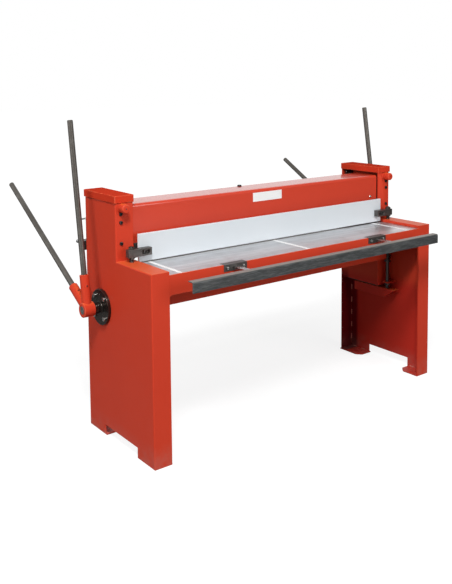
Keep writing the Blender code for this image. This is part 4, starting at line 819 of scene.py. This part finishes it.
@dataclass
class SideFrames:
    """The two stepped side frames with their caps, bosses, feet and gib screws."""

    plate_edge: float = 0.0010
    boss_round: float = 0.009
    gib_levels: tuple[float, ...] = (0.885, 0.853, 0.774)
    gib_offset: float = 0.727
    gib_head: float = 0.0070
    guide_levels: tuple[float, ...] = (0.775, 0.835, 0.895)
    guide_offset: float = 0.7125
    boss_offset: float = 0.722
    boss_level: float = 0.908
    boss_radius: float = 0.0174
    boss_length: float = 0.035
    plug_radius: float = 0.0024
    lip_edge: float = 0.0006
    weld_levels: tuple[float, ...] = (0.042, 0.105, 0.170, 0.235, 0.300, 0.362)
    weld_places: tuple[float, ...] = (0.020, 0.075, -0.035, -0.090)
    weld_length: float = 0.022
    foot_weld_length: float = 0.018

    def build(self) -> None:
        """Builds both sides."""
        for side, word in SIDES:
            remake(f"side_frame_{word}",
                   Workpiece.from_node(f"side_frame_{word}").ease(self.plate_edge, chosen=clear_of_seam))
            refine(f"column_cap_{word}", 0.0012)
            refine(f"inner_plate_{word}")
            refine(f"gib_{word}")
            refine(f"rear_guide_{word}")
            self.boss(side, word)
            self.screws(side, word)
            self.welds(side, word)
            self.lip(side, word)

    def boss(self, side: int, word: str) -> None:
        """Covers the boss at the top of a column with a smooth dome and its small plug."""
        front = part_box(f"gib_{word}")[0].y - PLATE - GAP - self.boss_length
        radius, rise = self.boss_radius, self.boss_round
        dome = [(0, 0)] + [(radius - rise + rise * math.sin(step * math.pi / 16),
                            rise * 0.6 * (1 - math.cos(step * math.pi / 16))) for step in range(9)]
        depth = self.boss_length - 0.001
        place = Matrix.Translation((side * self.boss_offset, front - GAP, self.boss_level)) @ turn_to((0, 1, 0))
        Workpiece().turned([*dome, (radius, depth), (0, depth)], place).piece(
            f"boss_cover_{word}", "frame", Finish.PAINT, "paint")
        seat = (side * self.boss_offset, front + 0.0002, self.boss_level)
        Workpiece().screw_head(seat, (0, -1, 0), self.plug_radius, 0.0006).piece(
            f"boss_plug_{word}", "frame", Finish.BLACK, "black_steel")

    def screws(self, side: int, word: str) -> None:
        """Adds the gib screws in front and the guide bolts behind."""
        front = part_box(f"gib_{word}")[0].y - PLATE - GAP
        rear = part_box(f"side_frame_{word}")[1].y
        work = Workpiece()
        for level in self.gib_levels:
            work.screw_head((side * self.gib_offset, front + 0.0005, level), (0, -1, 0), self.gib_head, 0.0045)
        work.piece(f"gib_screws_{word}", "frame", Finish.BLACK, "black_steel")
        work = Workpiece()
        for level in self.guide_levels:
            work.hex_head((side * self.guide_offset, rear - 0.0003, level), (0, 1, 0), 0.0075, 0.0068, washer=0.0014)
        work.piece(f"guide_bolts_{word}", "frame", Finish.ZINC, "black_steel")

    def lip(self, side: int, word: str) -> None:
        """Adds the lip that closes the leg between its shoulder and the table's end."""
        table_low, table_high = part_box("table_front_plate")
        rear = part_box(f"gib_{word}")[0].y - 0.0070
        inner = max(abs(table_low.x), abs(table_high.x)) + 0.0006
        ends = sorted((side * inner, side * (inner + PLATE)))
        low = (ends[0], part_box("front_rail")[0].y + 0.0065, table_high.z + 0.0004)
        high = (ends[1], rear, table_high.z + 0.0068)
        Workpiece().box(low, high).ease(self.lip_edge).piece(f"shoulder_lip_{word}", "frame", Finish.PAINT, "paint")

    def welds(self, side: int, word: str) -> None:
        """Adds the stitch welds in the corners of the leg and along its feet."""
        low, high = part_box(f"side_frame_{word}")
        wall = side * (max(abs(low.x), abs(high.x)) - PLATE - 0.0006)
        front, rear = low.y + PLATE, high.y - PLATE
        work = Workpiece()
        for level in self.weld_levels:
            for line in (front + 0.0006, rear - 0.0006):
                work.bead((wall, line, level), (wall, line, level + self.weld_length), 0.0036, 0.0034)
        sole = PLATE + 0.0004
        for place in self.weld_places:
            start = place + (front if place > 0 else rear)
            work.bead((wall, start, sole), (wall, start + self.foot_weld_length, sole), 0.0028, 0.0030)
        work.piece(f"leg_welds_{word}", "frame", Finish.WELD, "paint")


@dataclass
class Bearings:
    """The flanged bearings with their screws and bushes."""

    flange_radius: float = 0.0695
    flange_depth: float = 0.0117
    boss_radius: float = 0.0225
    bore: float = 0.0200
    edge: float = 0.0015
    screw_circle: float = 0.054
    screw_radius: float = 0.0078
    screw_height: float = 0.0058
    screw_count: int = 4

    def build(self) -> None:
        """Builds both sides."""
        for side, word in SIDES:
            low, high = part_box(f"bearing_flange_{word}")
            start, end = (low.x, high.x) if side > 0 else (high.x, low.x)
            place = Matrix.Translation((start, AXLE.y, AXLE.z)) @ turn_to((side, 0, 0))
            reach = abs(end - start)
            face, edge = self.flange_depth, self.edge
            profile = [(self.bore, 0), (self.flange_radius, 0), (self.flange_radius, face - edge),
                       (self.flange_radius - edge * 0.3, face - edge * 0.3), (self.flange_radius - edge, face),
                       (self.boss_radius + 0.003, face), (self.boss_radius + 0.0009, face + 0.0009),
                       (self.boss_radius, face + 0.003), (self.boss_radius, reach - 0.0012),
                       (self.boss_radius - 0.0012, reach), (self.bore, reach)]
            remake(f"bearing_flange_{word}", Workpiece().turned(profile, place, 96))
            work = Workpiece()
            for index in range(self.screw_count):
                angle = math.tau * (index + 0.5) / self.screw_count
                seat = (start + side * face, AXLE.y + self.screw_circle * math.cos(angle),
                        AXLE.z + self.screw_circle * math.sin(angle))
                work.screw_head(seat, (side, 0, 0), self.screw_radius, self.screw_height)
            work.piece(f"bearing_screws_{word}", "frame", Finish.ZINC, "dark_steel")
            refine(f"bearing_bush_{word}", 0.0004)


@dataclass
class Levers:
    """The cross shaft, its cranks, the lever hubs and the four hand levers."""

    radius: float = 0.011
    round: float = 0.003
    start: float = 0.047
    upright_reach: float = 0.726
    rear_reach: float = 0.827
    set_screw_reach: float = 0.090
    set_screw_radius: float = 0.0034
    socket_radius: float = 0.0172
    shaft_edge: float = 0.0012
    centre_depth: float = 0.002

    def build(self) -> None:
        """Builds both sides and the shaft."""
        low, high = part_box("cross_shaft")
        radius = (high.z - low.z) / 2
        length, dip = high.x - low.x, self.centre_depth
        profile = [(0, dip), (0.003, dip), (0.0045, 0), *pin(radius, 0, length, self.shaft_edge)[1:-1],
                   (0.0045, length), (0.003, length - dip), (0, length - dip)]
        remake("cross_shaft", Workpiece().turned(profile, Matrix.Translation((low.x, AXLE.y, AXLE.z))
                                                 @ turn_to((1, 0, 0))))
        for _, word in SIDES:
            for node in (f"crank_arm_{word}", f"crank_pin_{word}"):
                refine(node, 0.0006)
            refine(f"lever_hub_{word}", 0.0010, 3)
            self.lever(word, "upright", UPRIGHT_ANGLE, self.upright_reach)
            self.lever(word, "rear", REAR_ANGLE, self.rear_reach)
            self.set_screws(word)

    def lever(self, word: str, kind: str, angle: float, reach: float) -> None:
        """Builds a hand lever with a rounded end."""
        x = middle(f"{kind}_lever_{word}").x
        way = (0, math.cos(angle), math.sin(angle))
        tip = [(self.radius - self.round + self.round * math.cos(step * math.pi / 8),
                reach - self.round + self.round * math.sin(step * math.pi / 8)) for step in range(5)]
        profile = [(0, self.start), (self.radius, self.start), *tip, (0, reach)]
        place = Matrix.Translation((x, AXLE.y, AXLE.z)) @ turn_to(way)
        remake(f"{kind}_lever_{word}", Workpiece().turned(profile, place))

    def set_screws(self, word: str) -> None:
        """Adds the set screws that hold the levers in their sockets."""
        x = middle(f"upright_lever_{word}").x
        work = Workpiece()
        for angle in (UPRIGHT_ANGLE, REAR_ANGLE):
            way = Vector((0, math.cos(angle), math.sin(angle)))
            out = Vector((0, -way.z, way.y))
            seat = Vector((x, AXLE.y, AXLE.z)) + way * self.set_screw_reach + out * self.socket_radius
            work.screw_head(seat, out, self.set_screw_radius, 0.0014, 0.001)
        work.piece(f"lever_set_screws_{word}", "lever_shaft", Finish.BLACK, "black_steel")


@dataclass
class Bed:
    """The rail, table, blade support, lower blade and the scales let into the table."""

    strip_height: float = 0.0005
    blade_screws: int = 9
    screw_span: float = 1.2

    def build(self) -> None:
        """Builds the bed."""
        remake("front_rail", Workpiece.from_node("front_rail").ease(0.0010, chosen=clear_of_seam))
        refine("table_front_plate", 0.0006)
        refine("table_rear_plate", 0.0006)
        refine("blade_support_plate", 0.0010)
        refine("lower_blade", 0.0003)
        self.scales()
        self.screws()

    def scales(self) -> None:
        """Lays the white scales on the table, from front to back."""
        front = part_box("table_front_plate")
        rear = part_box("table_rear_plate")
        work = Workpiece()
        for place in STRIP_PLACES:
            work.box((place - STRIP_WIDTH / 2, front[0].y + 0.0002, front[1].z - 0.0002),
                     (place + STRIP_WIDTH / 2, rear[1].y - 0.0005, front[1].z + self.strip_height))
        work.ease(0.00015, 1)
        work.piece("table_scales", "frame", Finish.SCALE, "table_steel")

    def screws(self) -> None:
        """Adds the screws of the lower blade in the face of its support."""
        low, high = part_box("blade_support_plate")
        work = Workpiece()
        for index in range(self.blade_screws):
            x = (index / (self.blade_screws - 1) - 0.5) * self.screw_span
            work.screw_head((x, low.y - 0.0002, high.z - 0.016), (0, -1, 0), 0.0075, 0.0075)
        work.piece("lower_blade_screws", "frame", Finish.BLACK, "black_steel")


@dataclass
class Beam:
    """The blade beam with its blade, slides and lifters, and the small pieces on it."""

    label_x: tuple[float, float] = (-0.088, 0.071)
    label_z: tuple[float, float] = (0.864, 0.902)
    plug: tuple[float, float] = (0.63, 0.817)
    bow_screw: tuple[float, float] = (-0.0626, -0.0127)
    screw_count: int = 8
    screw_span: float = 1.22
    rake: float = 0.035

    def build(self) -> None:
        """Builds the beam."""
        refine("blade_beam", 0.0012)
        refine("upper_blade", 0.0003)
        for _, word in SIDES:
            refine(f"slide_plate_{word}")
            refine(f"lifter_foot_{word}", 0.0010)
        self.label()
        self.fasteners()

    def label(self) -> None:
        """Adds the bare white plate on the front of the beam."""
        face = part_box("blade_beam")[0].y
        Workpiece().box((self.label_x[0], face - 0.0008, self.label_z[0]),
                        (self.label_x[1], face + 0.0004, self.label_z[1])).ease(0.0004, 2).piece(
            "bare_label_plate", "beam", Finish.LABEL, "pale_paint")

    def fasteners(self) -> None:
        """Adds the plug, the bow screw on top and the blade bolts behind the web."""
        low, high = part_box("blade_beam")
        dome = [(0, 0.0036), (0.0028, 0.0032), (0.0052, 0.0016), (0.006, 0), (0.006, -0.001), (0, -0.001)]
        place = Matrix.Translation((self.plug[0], low.y - 0.0001, self.plug[1])) @ turn_to((0, -1, 0))
        Workpiece().turned(dome, place, 24).piece("beam_plug", "beam", Finish.ZINC, "black_steel")
        place = (self.bow_screw[0], high.y + self.bow_screw[1], high.z - 0.0003)
        Workpiece().hex_head(place, (0, 0, 1), 0.0095, 0.0058, washer=0.0012).piece(
            "bow_screw", "beam", Finish.BLACK, "black_steel")
        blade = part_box("upper_blade")
        work = Workpiece()
        for index in range(self.screw_count):
            x = (index / (self.screw_count - 1) - 0.5) * self.screw_span
            share = (x - blade[0].x) / (blade[1].x - blade[0].x)
            level = blade[0].z + self.rake * share + 0.032
            work.hex_head((x, low.y + 0.0102, level), (0, 1, 0), 0.0095, 0.0085, washer=0.0016)
        work.piece("upper_blade_bolts", "beam", Finish.BLACK, "black_steel")


@dataclass
class HoldDown:
    """The hold-down plate with its brackets, rods, nuts and springs."""

    rod_radius: float = 0.008
    rod_stand: float = 0.003
    nut_radius: float = 0.0135
    top_nut_radius: float = 0.0122
    spring_turns: int = 18
    slot_length: float = 1.2
    slot_height: float = 1.35
    slot_depth: float = 0.0118
    slot_reach: tuple[float, float] = (0.016, 0.0065)
    screw_radius: float = 0.0064
    screw_height: float = 0.0038
    low_nut_top: float = 0.392
    collar_radius: float = 0.0155
    collar_height: float = 0.007
    wire: float = 0.00175

    def build(self) -> None:
        """Builds the hold-down."""
        refine("hold_down_plate", 0.0007)
        for side, word in SIDES:
            self.bracket(word)
            self.rod(side, word)
            self.screw(word)

    def bracket(self, word: str) -> None:
        """Builds a bracket from its solid, with the sunk part of its slot drawn out to its full size."""
        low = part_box(f"bracket_{word}")[0]
        centre = middle(f"bracket_screw_{word}")
        work = Workpiece.from_node(f"bracket_{word}")
        for vert in work.bm.verts:
            across, up = vert.co.x - centre.x, vert.co.z - centre.z
            if (vert.co.y < low.y + self.slot_depth and abs(across) < self.slot_reach[0]
                    and abs(up) < self.slot_reach[1]):
                vert.co.x = centre.x + across * self.slot_length
                vert.co.z = centre.z + up * self.slot_height
        remake(f"bracket_{word}", work.ease(0.0009))

    def rod(self, side: int, word: str) -> None:
        """Builds a rod with its nuts and collar, the top nut and the spring."""
        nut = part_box(f"rod_nut_{word}")
        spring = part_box(f"hold_down_spring_{word}")
        centre = Vector((side * ROD_X, (nut[0].y + nut[1].y) / 2, 0))
        up = Matrix.Translation(centre)
        edge = 0.001
        work = Workpiece().turned(pin(self.rod_radius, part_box(f"hold_down_rod_{word}")[0].z,
                                      nut[1].z + self.rod_stand, edge), up, 32)
        bore = self.rod_radius * 0.98
        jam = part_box(f"bracket_{word}")[0].z - GAP
        work.hex_head((*centre.xy, jam), (0, 0, -1), self.nut_radius, 0.006, bore)
        work.hex_head((*centre.xy, self.low_nut_top), (0, 0, -1), self.nut_radius, 0.008, bore)
        top = spring[0].z - GAP
        work.turned([(bore, top - self.collar_height), *pin(self.collar_radius, top - self.collar_height, top,
                                                            edge)[1:-1], (bore, top)], up, 40)
        remake(f"hold_down_rod_{word}", work)
        remake(f"rod_nut_{word}", Workpiece().hex_head((*centre.xy, nut[0].z), (0, 0, 1), self.top_nut_radius,
                                                       nut[1].z - nut[0].z, bore))
        wire = self.wire
        remake(f"hold_down_spring_{word}",
               Workpiece().coil(centre, self.collar_radius - wire, wire, spring[0].z + wire, spring[1].z - wire,
                                self.spring_turns))

    def screw(self, word: str) -> None:
        """Builds the screw in a bracket's slot."""
        low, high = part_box(f"bracket_screw_{word}")
        seat = (low + high) / 2
        seat.y = low.y + 0.004
        end = high.y - seat.y
        shank = [(0, 0), (0.003, 0), (0.003, end - 0.0008), (0.0024, end), (0, end)]
        work = Workpiece().screw_head(seat, (0, -1, 0), self.screw_radius, self.screw_height)
        work.turned(shank, Matrix.Translation(seat) @ turn_to((0, 1, 0)), 20)
        remake(f"bracket_screw_{word}", work, Finish.SOCKET)


@dataclass
class FrontBar:
    """The front bar, its arms, and the blocks in the rail with their screws."""

    screw_offset: float = 0.038
    screw_radius: float = 0.0053
    screw_height: float = 0.0044

    def build(self) -> None:
        """Builds the front bar."""
        refine("front_bar", 0.0007)
        for _, word in SIDES:
            refine(f"front_bar_arm_{word}", 0.0006)
            refine(f"bar_block_{word}", 0.0006)
            centre = middle(f"bar_block_{word}")
            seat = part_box(f"bar_block_{word}")[0].y + 0.0041
            work = Workpiece()
            for offset in (-self.screw_offset, self.screw_offset):
                work.screw_head((centre.x + offset, seat, centre.z), (0, -1, 0), self.screw_radius,
                                self.screw_height)
            work.piece(f"bar_block_screws_{word}", "frame", Finish.ZINC, "black_steel")


@dataclass
class BackGauge:
    """The back gauge with its rods, blocks, bar and clamp screws."""

    rod_radius: float = 0.008
    clamp_radius: float = 0.004
    bend: float = 0.008
    nut_radius: float = 0.0135
    nut_height: float = 0.006

    def build(self) -> None:
        """Builds the gauge."""
        refine("gauge_bar", 0.0007)
        for _, word in SIDES:
            refine(f"gauge_block_{word}", 0.0009)
            self.rod(word)
            self.clamp(word)

    def rod(self, word: str) -> None:
        """Builds a rod with its two nuts."""
        low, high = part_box(f"gauge_rod_{word}")
        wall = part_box(f"side_frame_{word}")[1].y
        centre = (low + high) / 2
        back = Matrix.Translation((centre.x, low.y, centre.z)) @ turn_to((0, 1, 0))
        work = Workpiece().turned(pin(self.rod_radius, 0, high.y - low.y, 0.0012), back, 40)
        for face, way in ((wall + GAP, 1), (wall - PLATE - GAP, -1)):
            work.hex_head((centre.x, face, centre.z), (0, way, 0), self.nut_radius, self.nut_height,
                          self.rod_radius * 0.98)
        remake(f"gauge_rod_{word}", work)

    def clamp(self, word: str) -> None:
        """Builds a bent clamp screw from one ring of points."""
        low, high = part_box(f"clamp_screw_{word}")
        radius, bend = self.clamp_radius, self.bend
        x, y = (low.x + high.x) / 2, low.y + radius
        top = high.z - radius - 0.0002
        part = bmesh.new()
        ring = bmesh.ops.create_circle(part, cap_ends=False, segments=20, radius=radius)["verts"]
        bmesh.ops.translate(part, verts=ring, vec=(0, 0, low.z + 0.0002))
        edges = part.edges[:]

        def extend(vec: Sequence[float]) -> None:
            """Draws the last ring out."""
            made = bmesh.ops.extrude_edge_only(part, edges=edges)["geom"]
            bmesh.ops.translate(part, verts=[item for item in made if isinstance(item, bmesh.types.BMVert)], vec=vec)
            edges[:] = [item for item in made if isinstance(item, bmesh.types.BMEdge)
                        and item.is_boundary]

        extend((0, 0, top - bend - low.z - 0.0002))
        verts = list({vert for edge in edges for vert in edge.verts})
        made = bmesh.ops.spin(part, geom=verts + edges, cent=(0, bend, top - bend), axis=(-1, 0, 0), dvec=(0, 0, 0),
                              angle=math.pi / 2, steps=8, use_duplicate=False)["geom_last"]
        edges[:] = [item for item in made if isinstance(item, bmesh.types.BMEdge)]
        extend((0, high.y - y - bend - 0.0012, -0.0095))
        bmesh.ops.holes_fill(part, edges=[edge for edge in part.edges if edge.is_boundary], sides=0)
        remake(f"clamp_screw_{word}", Workpiece().absorb(part, Matrix.Translation((x, y, 0))))


@dataclass(frozen=True)
class Studio:
    """The floor, the light and the camera."""

    place: tuple[float, float, float] = (-2.14007, -2.773161, 1.38546)
    yaw: float = 0.64434
    pitch: float = 0.08662
    roll: float = -0.00917
    focal: float = 783.2
    principal: tuple[float, float] = (226.0, 146.0)
    image: tuple[int, int] = (452, 584)
    aim: tuple[float, float, float] = (0.0, 0.0, 0.5)
    lamps: tuple[tuple[str, tuple[float, float, float], float, float], ...] = (
        ("key_lamp", (-2.3, -2.9, 4.6), 1.1, 225.0),
        ("front_lamp", (1.0, -4.8, 2.2), 2.6, 84.0),
        ("left_lamp", (-4.6, -0.8, 2.0), 2.4, 62.0))

    def build(self) -> None:
        """Builds the studio."""
        self.camera()
        self.floor()
        self.light()

    def camera(self) -> None:
        """Stands the camera where the photograph was taken from."""
        data = bpy.data.cameras.new("camera")
        data.sensor_width = 36.0
        data.lens = 36.0 * self.focal / self.image[1]
        data.shift_x = (self.image[0] / 2 - self.principal[0]) / self.image[1]
        data.shift_y = -(self.image[1] / 2 - self.principal[1]) / self.image[1]
        data.clip_start, data.clip_end = 0.05, 60.0
        ahead = Vector((math.sin(self.yaw) * math.cos(self.pitch), math.cos(self.yaw) * math.cos(self.pitch),
                        -math.sin(self.pitch)))
        right = Vector((math.cos(self.yaw), -math.sin(self.yaw), 0))
        up = right.cross(ahead)
        tilt = (math.cos(self.roll), math.sin(self.roll))
        right, up = tilt[0] * right + tilt[1] * up, -tilt[1] * right + tilt[0] * up
        camera = bpy.data.objects.new("camera", data)
        bpy.context.scene.collection.objects.link(camera)
        turn = Matrix((right, up, -ahead)).transposed().to_4x4()
        camera.matrix_world = Matrix.Translation(self.place) @ turn
        bpy.context.scene.camera = camera

    def floor(self) -> None:
        """Lays a pale floor that keeps the shadow and looks white where it is lit; its glow is weaker near the
        machine, a painted shade that lets the shadow show there.
        """
        bm = bmesh.new()
        bmesh.ops.create_grid(bm, x_segments=1, y_segments=1, size=30)
        mesh = bpy.data.meshes.new("floor")
        bm.to_mesh(mesh)
        bm.free()
        floor = bpy.data.objects.new("floor", mesh)
        floor.location = (0, 0, -0.0003)
        bpy.context.scene.collection.objects.link(floor)
        material = bpy.data.materials.new("pale_floor")
        material.use_nodes = True
        shader = Shader(material.node_tree)
        shader.tree.nodes.clear()
        seen = self.ray(shader, "Is Camera Ray")
        away = shader.vector("LENGTH", shader.place(), output=1)
        matt = shader.node("ShaderNodeBsdfDiffuse", inputs={"Color": (0.30, 0.30, 0.30, 1)})
        # Painted shade: the camera-only glow is full white far out and weaker near the machine, so the floor there
        # turns grey where the shadow falls.
        glow = shader.node("ShaderNodeEmission", inputs={"Color": (1, 1, 1, 1),
                                                         "Strength": seen * away.ramp(0.9, 3.5, 0.84, 1.0)})
        both = shader.node("ShaderNodeAddShader", inputs={0: matt, 1: glow})
        shader.tree.links.new(both.socket, shader.tree.nodes.new("ShaderNodeOutputMaterial").inputs["Surface"])
        mesh.materials.append(material)

    @staticmethod
    def ray(shader: Shader, kind: str) -> Signal:
        """Gives 1 on one kind of ray."""
        path = shader.node("ShaderNodeLightPath")
        return Signal(shader, path.socket.node.outputs[kind])

    def light(self) -> None:
        """Hangs three soft lamps and sets the world."""
        for name, place, size, power in self.lamps:
            data = bpy.data.lights.new(name, "AREA")
            data.shape = "SQUARE"
            data.size = size
            data.energy = power
            lamp = bpy.data.objects.new(name, data)
            lamp.location = place
            lamp.rotation_euler = (Vector(self.aim) - Vector(place)).to_track_quat("-Z", "Y").to_euler()
            bpy.context.scene.collection.objects.link(lamp)
        world = bpy.data.worlds.new("studio")
        world.use_nodes = True
        bpy.context.scene.world = world
        shader = Shader(world.node_tree)
        back = shader.tree.nodes["Background"]
        back.inputs["Color"].default_value = (1, 1, 1, 1)
        ahead = shader.axes(shader.node("ShaderNodeTexCoord"))[1]
        mirrored = self.ray(shader, "Is Glossy Ray") * ahead.ramp(-0.1, 0.35, 0.05, 0.85)
        strength = self.ray(shader, "Is Camera Ray") * 0.9 + mirrored + 0.1
        shader.tree.links.new(strength.socket, back.inputs["Strength"])
        bpy.context.scene.view_settings.view_transform = "Standard"


def main() -> None:
    """Builds the machine and its studio in order."""
    logging.basicConfig(level=logging.INFO, format="%(message)s")
    for node, solid in frame["nodes"].items():
        solid.data.materials.clear()
        solid.data.materials.append(finish_of(node).material())
    for assembly in (SideFrames(), Bearings(), Levers(), Bed(), Beam(), HoldDown(), FrontBar(), BackGauge(),
                     Studio()):
        LOG.info("building %s", type(assembly).__name__)
        assembly.build()


if __name__ == "__main__":
    main()
